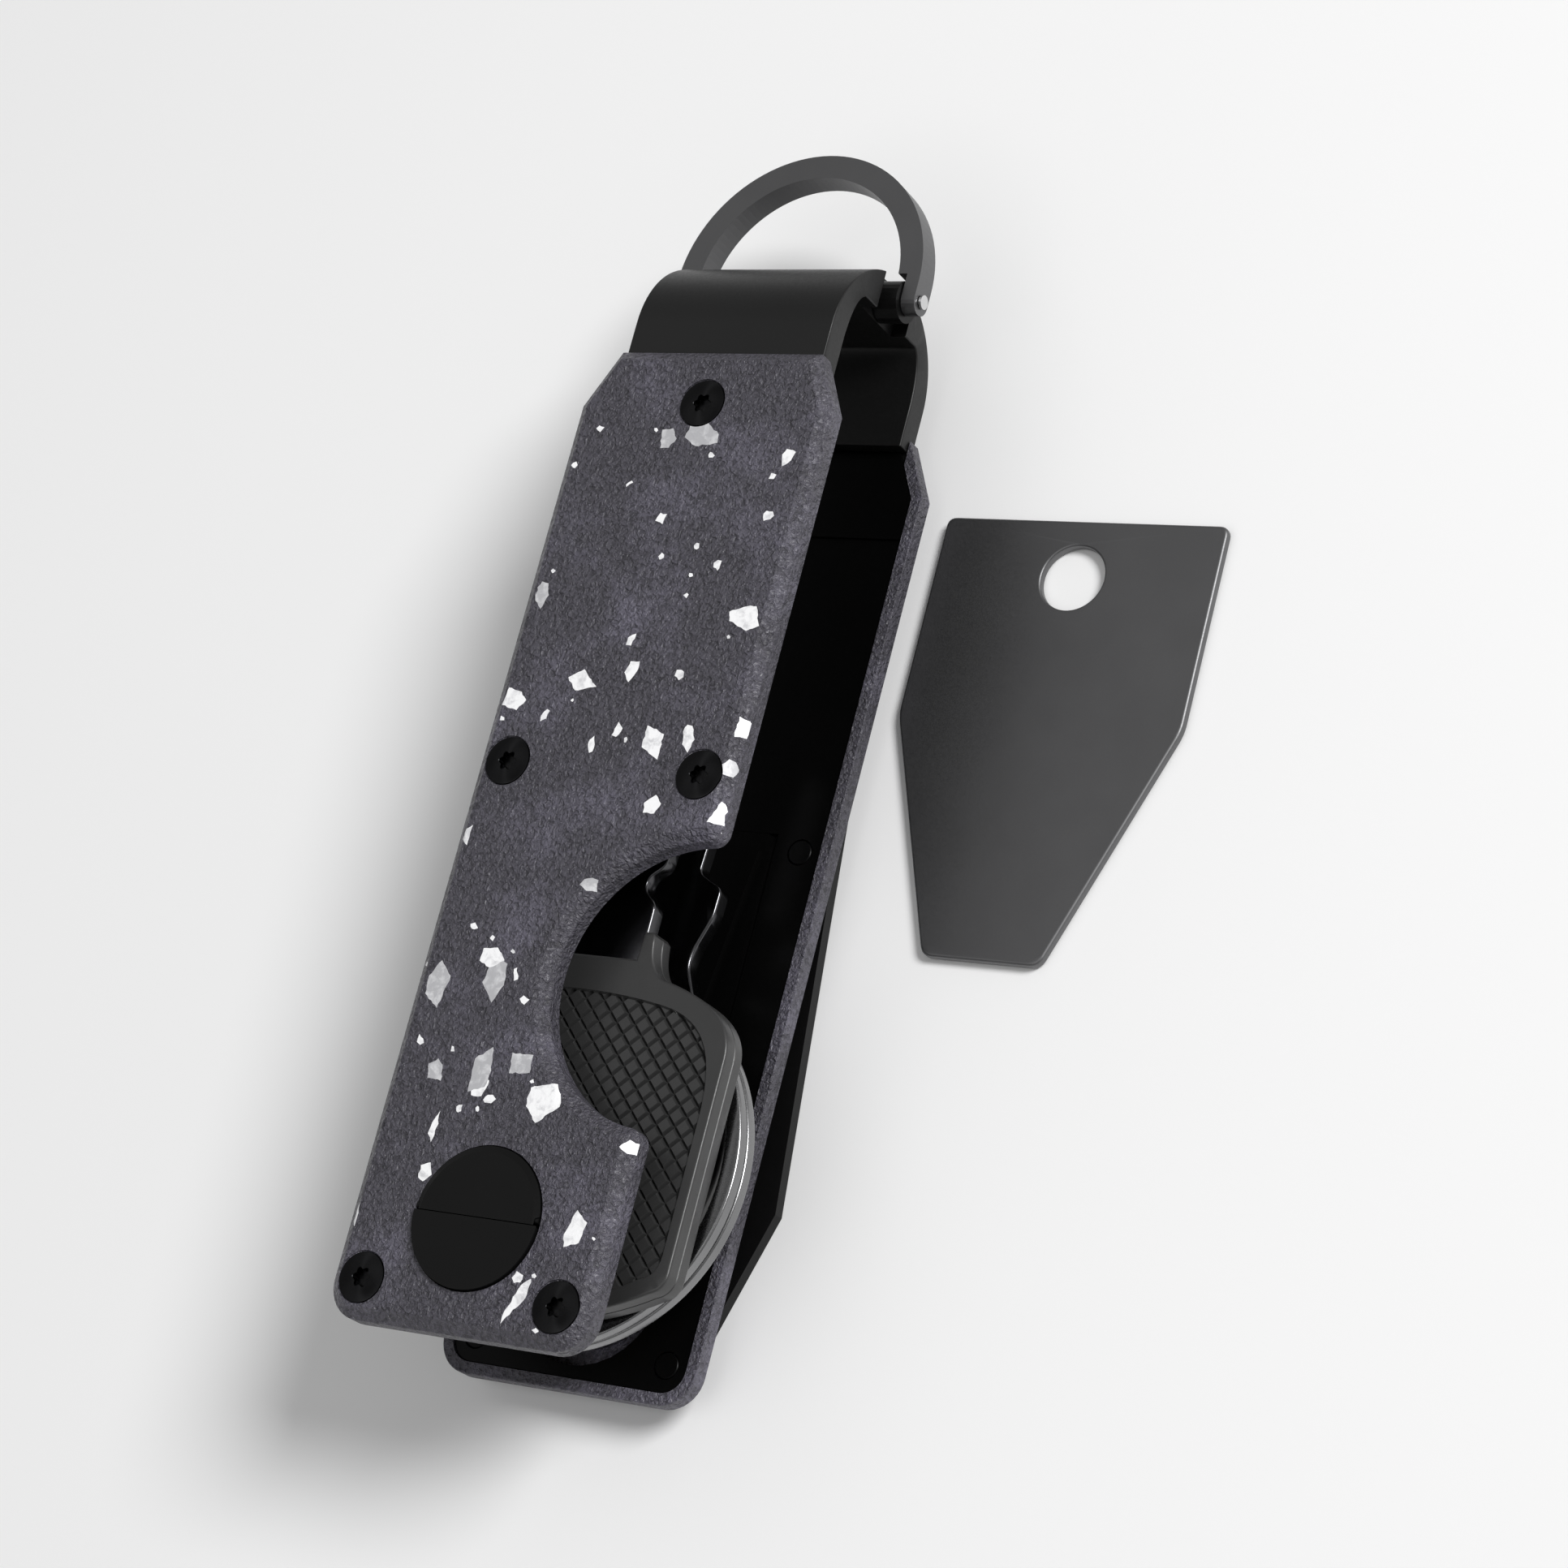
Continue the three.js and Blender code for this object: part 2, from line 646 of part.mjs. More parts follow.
// The first key's bow: square-shouldered, one side drawn and the other mirroring it.
function squareBow() {
  const shape = new THREE.Shape();
  const w = bowHalfWidth;
  const cornerX = w - 1.2;
  const cornerLow = bowLow - 0.7;
  const cornerMid = bowLow - 0.3;
  const cornerHigh = bowLow + 0.9;
  const crownX = w * 0.8; // pulls the shoulder's curve out
  const crownY = bowTop - 2.3;
  const neckX = hornOuter + 1.6;
  const neckY = bowTop - 1.3;
  const fillX = hornOuter + 0.2;
  const fillY = bowTop - 0.8;
  shape.moveTo(0, bowBottom);
  shape.quadraticCurveTo(w / 2, bowBottom, cornerX, cornerLow);
  shape.quadraticCurveTo(w, cornerMid, w, cornerHigh);
  shape.lineTo(w, bowShoulder);
  shape.bezierCurveTo(w, bowShoulder + 3, crownX, crownY, neckX, neckY);
  shape.quadraticCurveTo(fillX, fillY, hornOuter, hornHigh);
  shape.lineTo(hornInner + 0.1, hornHigh);
  shape.lineTo(hornInner, bowTop);
  shape.lineTo(-hornInner, bowTop);
  shape.lineTo(-hornInner - 0.1, hornHigh);
  shape.lineTo(-hornOuter, hornHigh);
  shape.quadraticCurveTo(-fillX, fillY, -neckX, neckY);
  shape.bezierCurveTo(-crownX, crownY, -w, bowShoulder + 3, -w, bowShoulder);
  shape.lineTo(-w, cornerHigh);
  shape.quadraticCurveTo(-w, cornerMid, -cornerX, cornerLow);
  shape.quadraticCurveTo(-w / 2, bowBottom, 0, bowBottom);
  return shape;
}

// The second key's bow is a smaller oval.
function ovalBow() {
  const shape = new THREE.Shape();
  shape.absellipse(0, ovalBowY, ovalBowHalfWidth, ovalBowHalfHeight, 0, 2 * Math.PI, false);
  return shape;
}

// Right-hand edge of the first key's blade: one trapezoid cut for each depth, from the bow out.
function cutEdge(cuts) {
  const w = bladeHalfWidth;
  const floorHalf = 0.5;
  const flank = 0.8; // how far a cut's flank reaches along the blade for each millimetre of depth
  const points = [[w, bladeRoot]];
  cuts.forEach((depth, i) => {
    const y = firstCut + i * cutPitch;
    const reach = floorHalf + flank * depth;
    points.push([w, y - reach], [w - depth, y - floorHalf], [w - depth, y + floorHalf], [w, y + reach]);
  });
  points.push([w, bladeTip - bladePoint], [bladeTipHalf, bladeTip]);
  return points;
}

// Closes a blade's right-hand edge with its mirror image.
function bladeShape(right) {
  const left = right.map(([x, y]) => [-x, y]).reverse();
  return polygon([...right, ...left]);
}

function key(letter, top, bowOutline, edge, grooveHigh, turn) {
  const group = new THREE.Group();
  const low = top - bowThick;
  const middle = (top + low) / 2;
  const half = bladeThick / 2;
  const slotHalf = half + fit / 2;
  const rootHalf = edge[0][0];
  const slot = box(
    -rootHalf - fit, rootHalf + fit, bladeRoot - fit, hornHigh + 1,
    middle - slotHalf, middle + slotHalf,
  );
  const eye = disc(postR + fit, low - 1, top + 1, 0, 0, 40);
  const bow = slab(bowOutline, low, top, 20).subtract(slot).subtract(eye);
  let blade = slab(bladeShape(edge), middle - half, middle + half);
  for (const [x, face] of [[-grooveX, middle + half], [grooveX, middle - half]]) {
    const groove = box(
      x - grooveHalf, x + grooveHalf, grooveLow, grooveHigh, face - grooveDeep, face + grooveDeep,
    );
    blade = blade.subtract(groove);
  }
  add(`key_${letter}_bow`, bow, keyBow, group);
  add(`key_${letter}_blade`, blade, keySteel, group);
  group.rotation.z = THREE.MathUtils.degToRad(turn);
  pieces.add(group);
}

key("a", keyATop, squareBow(), cutEdge([1.2, 0.7, 1.5, 1.0, 1.4, 0.6]), bladeTip - 6, 0);
key("b", keyBTop, ovalBow(), slimBladeEdge, slimBladeEdge.at(-1)[1] - 3, keyBTurn);

// ---- split ring ----

// Two flat turns side by side, joined by a short step where the band crosses over.
function splitRing() {
  const middle = (keyBTop + keyALow) / 2;
  const innerR = ringOuterR - ringBandWide;
  const gap = ringGap;
  const turn = (low, high) => {
    const outer = disc(ringOuterR, low, high, 0, 0, 56);
    return outer.subtract(disc(innerR, low - 1, high + 1, 0, 0, 56));
  };
  const joint = box(
    innerR + ringJointInset, ringOuterR - ringJointInset, -ringJointHalf, ringJointHalf,
    middle - gap, middle + gap,
  );
  const upper = turn(middle + gap / 2, middle + gap / 2 + ringTurnThick);
  const lower = turn(middle - gap / 2 - ringTurnThick, middle - gap / 2);
  return upper.add(lower).add(joint).translate([ringCentreX, ringCentreY, 0]);
}

add("split_ring", splitRing(), gunmetal);

// ---- pocket clip ----

function clip() {
  const right = clipOutline;
  const left = right.map(([x, y]) => [-x, y]).reverse();
  const outline = slab(polygon([...right, ...left]), 0, rearFace);
  const past = scaleHalfWidth * 2;
  const spring = box(-past, past, scaleBottom - past, clipPadLow, clipThick, rearFace + 1);
  const aboveHigh = box(-past, past, clipPadHigh, clipPadHigh + past, -1, rearFace + 1);
  let body = outline.subtract(spring).subtract(aboveHigh);
  clipScrewY.forEach((y) => {
    const hole = turned([
      [0, -1],
      [screwHeadR + fit, -1],
      [screwHeadR + fit, 0.1],
      [screwShankR + fit, screwHeadDeep],
      [screwShankR + fit, rearFace + 1],
      [0, rearFace + 1],
    ], 0, y, 16);
    body = body.subtract(hole);
  });
  return body;
}

add("pocket_clip", clip(), blackSteel);

clipScrewY.forEach((y, i) => {
  const screw = flip(countersunk(rearLinerTop), 0);
  add(`clip_screw_${i + 1}`, screw.translate([0, y, 0]), blackSteel);
});

// ---- loose tag ----

function tagShape() {
  const shape = new THREE.Shape();
  const r = tagCornerR;
  const low = -tagLong;
  shape.moveTo(-tagTipHalf, low);
  shape.lineTo(tagTipHalf, low);
  shape.lineTo(tagHalfWidth, -tagStraight);
  shape.lineTo(tagHalfWidth, -r);
  shape.absarc(tagHalfWidth - r, -r, r, 0, Math.PI / 2, false);
  shape.lineTo(-tagHalfWidth + r, 0);
  shape.absarc(-tagHalfWidth + r, -r, r, Math.PI / 2, Math.PI, false);
  shape.lineTo(-tagHalfWidth, -tagStraight);
  return shape;
}

const tag = slab(tagShape(), 0, tagThick, 4);
const tagHole = disc(tagHoleR, -1, tagThick + 1, 0, -tagHoleDrop, 40);
add("tag", tag.subtract(tagHole).translate([tagCentreX, tagTop, 0]), gunmetal);

export default pieces;
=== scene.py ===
import math
import random

import bmesh
import bpy
import numpy as np
from mathutils import Matrix, Vector
from mathutils.geometry import delaunay_2d_cdt


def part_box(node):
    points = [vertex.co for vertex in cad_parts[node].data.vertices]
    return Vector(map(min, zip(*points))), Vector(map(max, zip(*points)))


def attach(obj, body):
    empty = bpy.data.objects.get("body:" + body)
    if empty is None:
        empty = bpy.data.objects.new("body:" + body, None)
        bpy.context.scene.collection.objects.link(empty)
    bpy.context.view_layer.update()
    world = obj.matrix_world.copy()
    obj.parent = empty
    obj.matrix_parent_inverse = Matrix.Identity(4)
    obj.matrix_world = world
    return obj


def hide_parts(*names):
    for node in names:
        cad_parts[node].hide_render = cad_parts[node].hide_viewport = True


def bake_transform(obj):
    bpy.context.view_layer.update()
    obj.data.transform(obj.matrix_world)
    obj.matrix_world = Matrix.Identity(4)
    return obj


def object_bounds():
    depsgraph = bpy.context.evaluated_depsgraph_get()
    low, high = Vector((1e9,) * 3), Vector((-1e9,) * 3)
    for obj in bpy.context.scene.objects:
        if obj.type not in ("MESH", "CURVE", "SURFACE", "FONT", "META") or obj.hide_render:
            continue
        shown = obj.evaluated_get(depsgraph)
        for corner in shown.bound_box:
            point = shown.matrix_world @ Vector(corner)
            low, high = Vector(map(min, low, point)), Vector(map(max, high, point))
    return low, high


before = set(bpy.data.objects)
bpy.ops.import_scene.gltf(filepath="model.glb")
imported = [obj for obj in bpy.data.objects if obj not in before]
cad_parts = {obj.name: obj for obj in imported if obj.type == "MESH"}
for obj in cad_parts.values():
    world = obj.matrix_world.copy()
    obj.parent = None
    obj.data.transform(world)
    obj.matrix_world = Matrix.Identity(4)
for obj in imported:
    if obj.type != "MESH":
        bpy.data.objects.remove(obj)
cadLow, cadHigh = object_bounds()

mm = 0.001
studio = bpy.context.scene
studio.view_settings.view_transform = "Standard"
sharpAngle = 32.0  # degrees; a steeper edge is drawn sharp


def nodeBox(node):  # a CAD node's box in millimetres
    low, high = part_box(node)
    return low / mm, high / mm


# colours and shader nodes

def srgb(code):
    channels = [int(code[i:i + 2], 16) / 255 for i in (1, 3, 5)]
    linear = [c / 12.92 if c <= 0.04045 else ((c + 0.055) / 1.055) ** 2.4 for c in channels]
    return (*linear, 1.0)


def perMetre(size):  # texture scale for a pattern whose features are this many millimetres apart
    return 1 / (size * mm)


def addNode(tree, kind, values=None, links=None, **settings):
    node = tree.nodes.new(kind)
    for name, value in settings.items():
        setattr(node, name, value)
    for name, value in (values or {}).items():
        node.inputs[name].default_value = value
    for name, source in (links or {}).items():
        tree.links.new(source, node.inputs[name])
    return node


def newMaterial(name, **values):
    material = bpy.data.materials.new(name)
    material.use_nodes = True
    tree = material.node_tree
    shader = tree.nodes["Principled BSDF"]
    for socket, value in values.items():
        shader.inputs[socket.replace("_", " ")].default_value = value
    place = addNode(tree, "ShaderNodeTexCoord").outputs["Object"]
    return material, tree, shader, place


def mixColours(tree, factor, first, second):
    mix = addNode(tree, "ShaderNodeMix", {6: first, 7: second}, {0: factor}, data_type="RGBA")
    return mix.outputs[2]


def spread(tree, value, fromLow, fromHigh, toLow, toHigh):
    node = addNode(
        tree, "ShaderNodeMapRange",
        {"From Min": fromLow, "From Max": fromHigh, "To Min": toLow, "To Max": toHigh},
        {"Value": value},
    )
    return node.outputs["Result"]


# stone-pattern composite: cast resin with a pebbled face, so it is matt with a fine sparkle of grain; the
# hollows between its pebbles are darkened with painted shade

stoneLook = {
    "base": "#4b4951", "cloud": "#6b6876", "cloudAmount": 0.8, "shade": "#1d1c20",
    "shadeAmount": (0.3, 0.6),
    "grain": 0.36, "grainDeep": 0.4, "clouds": 7.0, "mottle": 1.6, "roughness": 0.44,
}


def grainNoise(tree, place):  # the pebbled grain that runs through the composite and its chips
    return addNode(
        tree, "ShaderNodeTexNoise",
        {"Scale": perMetre(stoneLook["grain"]), "Detail": 2.0, "Roughness": 0.55, "Distortion": 0.6},
        {"Vector": place},
    )


def addBump(tree, shader, height, deep):  # deep in millimetres
    bump = addNode(tree, "ShaderNodeBump", {"Strength": 1.0, "Distance": deep * mm}, {"Height": height})
    tree.links.new(bump.outputs["Normal"], shader.inputs["Normal"])


def stoneComposite():
    look = stoneLook
    material, tree, shader, place = newMaterial("stoneComposite", IOR=1.5)
    clouds = addNode(
        tree, "ShaderNodeTexNoise",
        {"Scale": perMetre(look["clouds"]), "Detail": 5.0, "Roughness": 0.62}, {"Vector": place},
    )
    mottle = addNode(
        tree, "ShaderNodeTexNoise",
        {"Scale": perMetre(look["mottle"]), "Detail": 4.0, "Roughness": 0.6}, {"Vector": place},
    )
    grain = grainNoise(tree, place)
    light = spread(tree, clouds.outputs["Fac"], 0.5, 0.72, 0.0, look["cloudAmount"])
    toned = mixColours(tree, light, srgb(look["base"]), srgb(look["cloud"]))
    hollowShade = spread(tree, grain.outputs["Fac"], 0.56, 0.38, 0.0, 1.0)  # painted shade for the hollows between pebbles
    patchy = spread(tree, mottle.outputs["Fac"], 0.6, 0.4, *look["shadeAmount"])
    # painted shade: the hollows are mixed towards the shade colour, more in some random patches than others
    dark = addNode(tree, "ShaderNodeMath", None, {0: hollowShade, 1: patchy}, operation="MULTIPLY")
    mix = addNode(
        tree, "ShaderNodeMix", {7: srgb(look["shade"])}, {0: dark.outputs[0], 6: toned}, data_type="RGBA",
    )
    tree.links.new(mix.outputs[2], shader.inputs["Base Color"])
    rough = spread(tree, grain.outputs["Fac"], 0.3, 0.7, look["roughness"] + 0.12, look["roughness"] - 0.1)
    tree.links.new(rough, shader.inputs["Roughness"])
    addBump(tree, shader, grain.outputs["Fac"], look["grainDeep"])
    return material


# mother-of-pearl and quartz chips set in the composite: bright, with cloudy greyer patches

chipLook = {"patches": 0.9, "dullAmount": 0.85, "rough": (0.5, 0.38), "grainDeep": 0.02}


def chipStone(name, pale, dull):
    look = chipLook
    material, tree, shader, place = newMaterial(name, IOR=1.54)
    patches = addNode(
        tree, "ShaderNodeTexNoise",
        {"Scale": perMetre(look["patches"]), "Detail": 5.0, "Roughness": 0.65, "Distortion": 0.4},
        {"Vector": place},
    )
    grain = grainNoise(tree, place)
    amount = spread(tree, patches.outputs["Fac"], 0.48, 0.66, 0.0, look["dullAmount"])
    tree.links.new(mixColours(tree, amount, srgb(pale), srgb(dull)), shader.inputs["Base Color"])
    rough = spread(tree, grain.outputs["Fac"], 0.3, 0.7, *look["rough"])
    tree.links.new(rough, shader.inputs["Roughness"])
    addBump(tree, shader, grain.outputs["Fac"], look["grainDeep"])
    return material


# finely finished surfaces share one build: a base tone with slight mottling, uneven sheen and micro bump

broadGrain = 40  # the mottling is this many times coarser than the bump


def finishedSurface(name, tone, darker, roughness, grain, deep, stretch=(1, 1, 1), **values):
    material, tree, shader, place = newMaterial(name, **values)
    mapped = addNode(tree, "ShaderNodeMapping", {"Scale": stretch}, {"Vector": place})
    fine = addNode(
        tree, "ShaderNodeTexNoise",
        {"Scale": perMetre(grain), "Detail": 3.0, "Roughness": 0.6}, {"Vector": mapped.outputs[0]},
    )
    broad = addNode(
        tree, "ShaderNodeTexNoise",
        {"Scale": perMetre(grain * broadGrain), "Detail": 3.0, "Roughness": 0.5}, {"Vector": place},
    )
    amount = spread(tree, broad.outputs["Fac"], 0.35, 0.65, 0.0, 1.0)
    tree.links.new(mixColours(tree, amount, srgb(tone), srgb(darker)), shader.inputs["Base Color"])
    rough = spread(tree, fine.outputs["Fac"], 0.25, 0.75, roughness * 0.88, roughness * 1.12)
    tree.links.new(rough, shader.inputs["Roughness"])
    addBump(tree, shader, fine.outputs["Fac"], deep)
    return material


# black-oxide steel turned on a lathe: concentric tool marks stretch its highlight into a cone

turnedLook = {"tone": "#2a2a2b", "darker": "#212122", "grain": 0.12, "rough": (0.3, 0.4)}


def turnedBlackSteel():
    look = turnedLook
    material, tree, shader, place = newMaterial("turnedBlackSteel", Metallic=1.0, Anisotropic=0.85)
    tangent = addNode(tree, "ShaderNodeTangent", direction_type="RADIAL", axis="Z")
    tree.links.new(tangent.outputs[0], shader.inputs["Tangent"])
    fine = addNode(
        tree, "ShaderNodeTexNoise", {"Scale": perMetre(look["grain"]), "Detail": 2.0}, {"Vector": place},
    )
    tone = mixColours(tree, fine.outputs["Fac"], srgb(look["tone"]), srgb(look["darker"]))
    tree.links.new(tone, shader.inputs["Base Color"])
    rough = spread(tree, fine.outputs["Fac"], 0.3, 0.7, *look["rough"])
    tree.links.new(rough, shader.inputs["Roughness"])
    return material


stone = stoneComposite()
paleChip = chipStone("paleQuartzChip", "#fbfbfc", "#c9c9cc")
greyChip = chipStone("greyPearlChip", "#b2b2b5", "#dadadc")
# thermoplastic rubber, moulded satin: soft highlights, no texture to the eye
strapRubber = finishedSurface(
    "mouldedRubber", "#0e0e0e", "#101010", 0.42, 0.25, 0.006, IOR=1.5, Specular_IOR_Level=0.4,
)
# anodised black aluminium plate: deep black with a faint edge gleam
blackPlate = finishedSurface(
    "blackAnodisedPlate", "#030303", "#040404", 0.36, 0.2, 0.002, IOR=1.5, Specular_IOR_Level=0.12,
)
# bead-blasted and coated black steel: even, almost matt
blackSteel = finishedSurface(
    "blastedBlackSteel", "#0b0b0b", "#0d0d0d", 0.34, 0.15, 0.003, IOR=1.5, Specular_IOR_Level=0.18,
)
# satin gunmetal plating on steel: a dark mirror, evenly blurred
gunmetal = finishedSurface(
    "satinGunmetal", "#747475", "#717172", 0.46, 0.12, 0.001, Metallic=1.0,
)
# tumbled spring steel of the ring: a bright, slightly soft mirror
ringSteel = finishedSurface(
    "tumbledSpringSteel", "#8b8b8c", "#7c7c7d", 0.26, 0.2, 0.002, Metallic=1.0,
)
# polished stainless for the pins: small bright glints
brightSteel = finishedSurface(
    "polishedStainless", "#e2e2e2", "#d6d6d6", 0.16, 0.2, 0.001, Metallic=1.0,
)
# nickel-plated brass key blank, milled along its length: a mirror with faint streaks, its tone darkened
# with painted shade for its place between the scales
nickelWithPaintedShade = finishedSurface(
    "nickelBlankPaintedShade", "#5a5a5c", "#515153", 0.2, 0.2, 0.002, stretch=(1, 0.05, 1), Metallic=1.0,
)
# glass-filled nylon of the key heads: dark grey, slight gloss on its edges
keyNylon = finishedSurface(
    "mouldedNylon", "#2d2d2d", "#303030", 0.36, 0.16, 0.004, IOR=1.53, Specular_IOR_Level=0.5,
)
# turned bearing bronze: warm brown metal with a soft shine
bronze = finishedSurface(
    "bearingBronze", "#9c7a4c", "#8a6a40", 0.32, 0.2, 0.002, Metallic=1.0,
)
turnedSteel = turnedBlackSteel()
print("materials made")


# outlines and mesh building; every length below is in millimetres until a vertex is made

def circle(x, y, r, count=64):
    turns = [2 * math.pi * i / count for i in range(count)]
    return [(x + r * math.cos(a), y + r * math.sin(a)) for a in turns]


def arc(x, y, r, begin, end, count):  # angles in degrees, both ends included
    turns = [math.radians(begin + (end - begin) * i / count) for i in range(count + 1)]
    return [(x + r * math.cos(a), y + r * math.sin(a)) for a in turns]


def bezier(points, count):  # quadratic or cubic, without its first point
    degree = len(points) - 1
    made = []
    for i in range(1, count + 1):
        t = i / count
        weights = [math.comb(degree, k) * t ** k * (1 - t) ** (degree - k) for k in range(degree + 1)]
        made.append(tuple(sum(w * p[axis] for w, p in zip(weights, points)) for axis in (0, 1)))
    return made


def mirrored(right):  # right-hand points, bottom to top, closed with their mirror image
    left = [(-x, y) for x, y in reversed(right) if abs(x) > 1e-6]
    return right + left


def rounded(corners, radius, steps):  # each corner of a closed outline becomes a short curve
    made = []
    for i, corner in enumerate(corners):
        here = Vector(corner)
        before = Vector(corners[i - 1]) - here
        after = Vector(corners[(i + 1) % len(corners)]) - here
        reach = min(radius, before.length * 0.45, after.length * 0.45)
        first = here + before.normalized() * reach
        last = here + after.normalized() * reach
        made.append(tuple(first))
        made.extend(bezier([first, here, last], steps))
    return made


def inset(loop, distance):  # anticlockwise outline moved inwards
    moved = []
    for i in range(len(loop)):
        a, b, c = Vector(loop[i - 1]), Vector(loop[i]), Vector(loop[(i + 1) % len(loop)])
        one, two = (b - a).normalized(), (c - b).normalized()
        across = Vector((-one.y - two.y, one.x + two.x))
        moved.append(tuple(b + across * (2 * distance / across.length_squared)))
    return moved


def ring(bm, loop, z):
    return [bm.verts.new((x * mm, y * mm, z * mm)) for x, y in loop]


def skin(bm, lower, upper):  # quads between two equal rings
    for i in range(len(lower)):
        j = (i + 1) % len(lower)
        bm.faces.new((lower[i], lower[j], upper[j], upper[i]))


def cap(bm, outer, *holes):  # flat fill between vertex rings that lie in one level
    rings = [outer, *holes]
    verts = [v for loop in rings for v in loop]
    flat = [Vector((v.co.x, v.co.y)) / mm for v in verts]
    loops, start = [], 0
    for loop in rings:
        loops.append(list(range(start, start + len(loop))))
        start += len(loop)
    _, _, triangles, origins, _, owners = delaunay_2d_cdt(flat, [], loops, 1, 1e-5)
    for triangle, owner in zip(triangles, owners):
        if list(owner) == [0]:
            bm.faces.new([verts[origins[i][0]] for i in triangle])


def tower(bm, outline, profile):  # rings of an outline at (inset, height) pairs, skinned together
    rings = [ring(bm, inset(outline, step), z) if step else ring(bm, outline, z) for step, z in profile]
    for lower, upper in zip(rings, rings[1:]):
        skin(bm, lower, upper)
    return rings[0], rings[-1]


def plate(bm, outline, profile, holes=()):  # closed plate; each hole is (loop, profile)
    low, top = tower(bm, outline, profile)
    ends = [tower(bm, loop, steps) for loop, steps in holes]
    cap(bm, low, *[e[0] for e in ends])
    cap(bm, top, *[e[1] for e in ends])


def edgeProfile(low, high, r, steps=3):  # rounded top and bottom edges of a plate
    lower = [(r * (1 - math.sin(a)), low + r * (1 - math.cos(a)))
             for a in [math.pi / 2 * i / steps for i in range(steps + 1)]]
    upper = [(step, high + low - z) for step, z in reversed(lower)]
    return lower + upper


def holeProfile(low, high, r, steps):  # the same for a hole, whose edges open outwards
    return [(-step, z) for step, z in edgeProfile(low, high, r, steps)]


def finishMesh(bm, name, materials, body, stands, move=None, sharp=sharpAngle):
    if move is not None:
        bmesh.ops.transform(bm, matrix=move, verts=bm.verts)
    bmesh.ops.remove_doubles(bm, verts=bm.verts, dist=1e-4 * mm)
    bmesh.ops.recalc_face_normals(bm, faces=bm.faces)
    mesh = bpy.data.meshes.new(name)
    bm.to_mesh(mesh)
    bm.free()
    mesh.shade_smooth()
    mesh.set_sharp_from_angle(angle=math.radians(sharp))
    piece = bpy.data.objects.new(name, mesh)
    studio.collection.objects.link(piece)
    for material in materials:
        mesh.materials.append(material)
    weighted = piece.modifiers.new("evenNormals", "WEIGHTED_NORMAL")
    weighted.keep_sharp = True
    if body:
        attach(piece, body)
    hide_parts(*stands)
    return piece


def cutBoxes(piece, boxes):  # boxes as (low corner, high corner) in millimetres, taken out of the piece
    cutter = bmesh.new()
    for low, high in boxes:
        low, high = Vector(low), Vector(high)
        spot = Matrix.Translation((low + high) / 2 * mm)
        bmesh.ops.create_cube(cutter, size=mm, matrix=spot @ Matrix.Diagonal((*(high - low), 1)))
    mesh = bpy.data.meshes.new("cutter")
    cutter.to_mesh(mesh)
    cutter.free()
    tool = bpy.data.objects.new("cutter", mesh)
    studio.collection.objects.link(tool)
    piece.modifiers.clear()
    cut = piece.modifiers.new("cut", "BOOLEAN")
    cut.operation = "DIFFERENCE"
    cut.object = tool
    cut.solver = "EXACT"
    graph = bpy.context.evaluated_depsgraph_get()
    made = bpy.data.meshes.new_from_object(piece.evaluated_get(graph))
    piece.modifiers.clear()
    piece.data = made
    bpy.data.objects.remove(tool)
    made.set_sharp_from_angle(angle=math.radians(sharpAngle))
    piece.modifiers.new("evenNormals", "WEIGHTED_NORMAL").keep_sharp = True


smoothing = bpy.data.node_groups.new("smoothByAngle", "GeometryNodeTree")
smoothing.interface.new_socket("Geometry", in_out="INPUT", socket_type="NodeSocketGeometry")
smoothing.interface.new_socket("Geometry", in_out="OUTPUT", socket_type="NodeSocketGeometry")
edgeAngle = addNode(smoothing, "GeometryNodeInputMeshEdgeAngle")
isSoft = addNode(
    smoothing, "FunctionNodeCompare", {1: math.radians(sharpAngle)},
    {0: edgeAngle.outputs["Unsigned Angle"]}, data_type="FLOAT", operation="LESS_EQUAL",
)
wholeIn = addNode(smoothing, "NodeGroupInput")
softFaces = addNode(
    smoothing, "GeometryNodeSetShadeSmooth", {"Shade Smooth": True}, {"Geometry": wholeIn.outputs[0]},
    domain="FACE",
)
softEdges = addNode(
    smoothing, "GeometryNodeSetShadeSmooth", None,
    {"Geometry": softFaces.outputs[0], "Shade Smooth": isSoft.outputs[0]}, domain="EDGE",
)
addNode(smoothing, "NodeGroupOutput", None, {0: softEdges.outputs[0]})


bevelAngle = 35.0  # degrees; only steeper edges are softened


def keepNode(name, material, edge, segments=2):  # a CAD piece keeps its shape, edges softened
    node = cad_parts[name]
    node.data.materials.clear()
    node.data.materials.append(material)
    if edge:
        bevel = node.modifiers.new("softEdges", "BEVEL")
        bevel.width = edge * mm
        bevel.segments = segments
        bevel.limit_method = "ANGLE"
        bevel.angle_limit = math.radians(bevelAngle)
        bevel.use_clamp_overlap = True
    smooth = node.modifiers.new("smoothByAngle", "NODES")
    smooth.node_group = smoothing
    node.modifiers.new("evenNormals", "WEIGHTED_NORMAL").keep_sharp = True


# camera: the organiser seen from its thumb side, tipped up and rolled so that it leans right

cameraView = {
    "azimuth": 61.25, "elevation": 53.55, "roll": -51.5, "distance": 289.9, "lens": 95.42,
    "aim": (15.46, 33.54, 19.2), "nearest": 10.0,
}


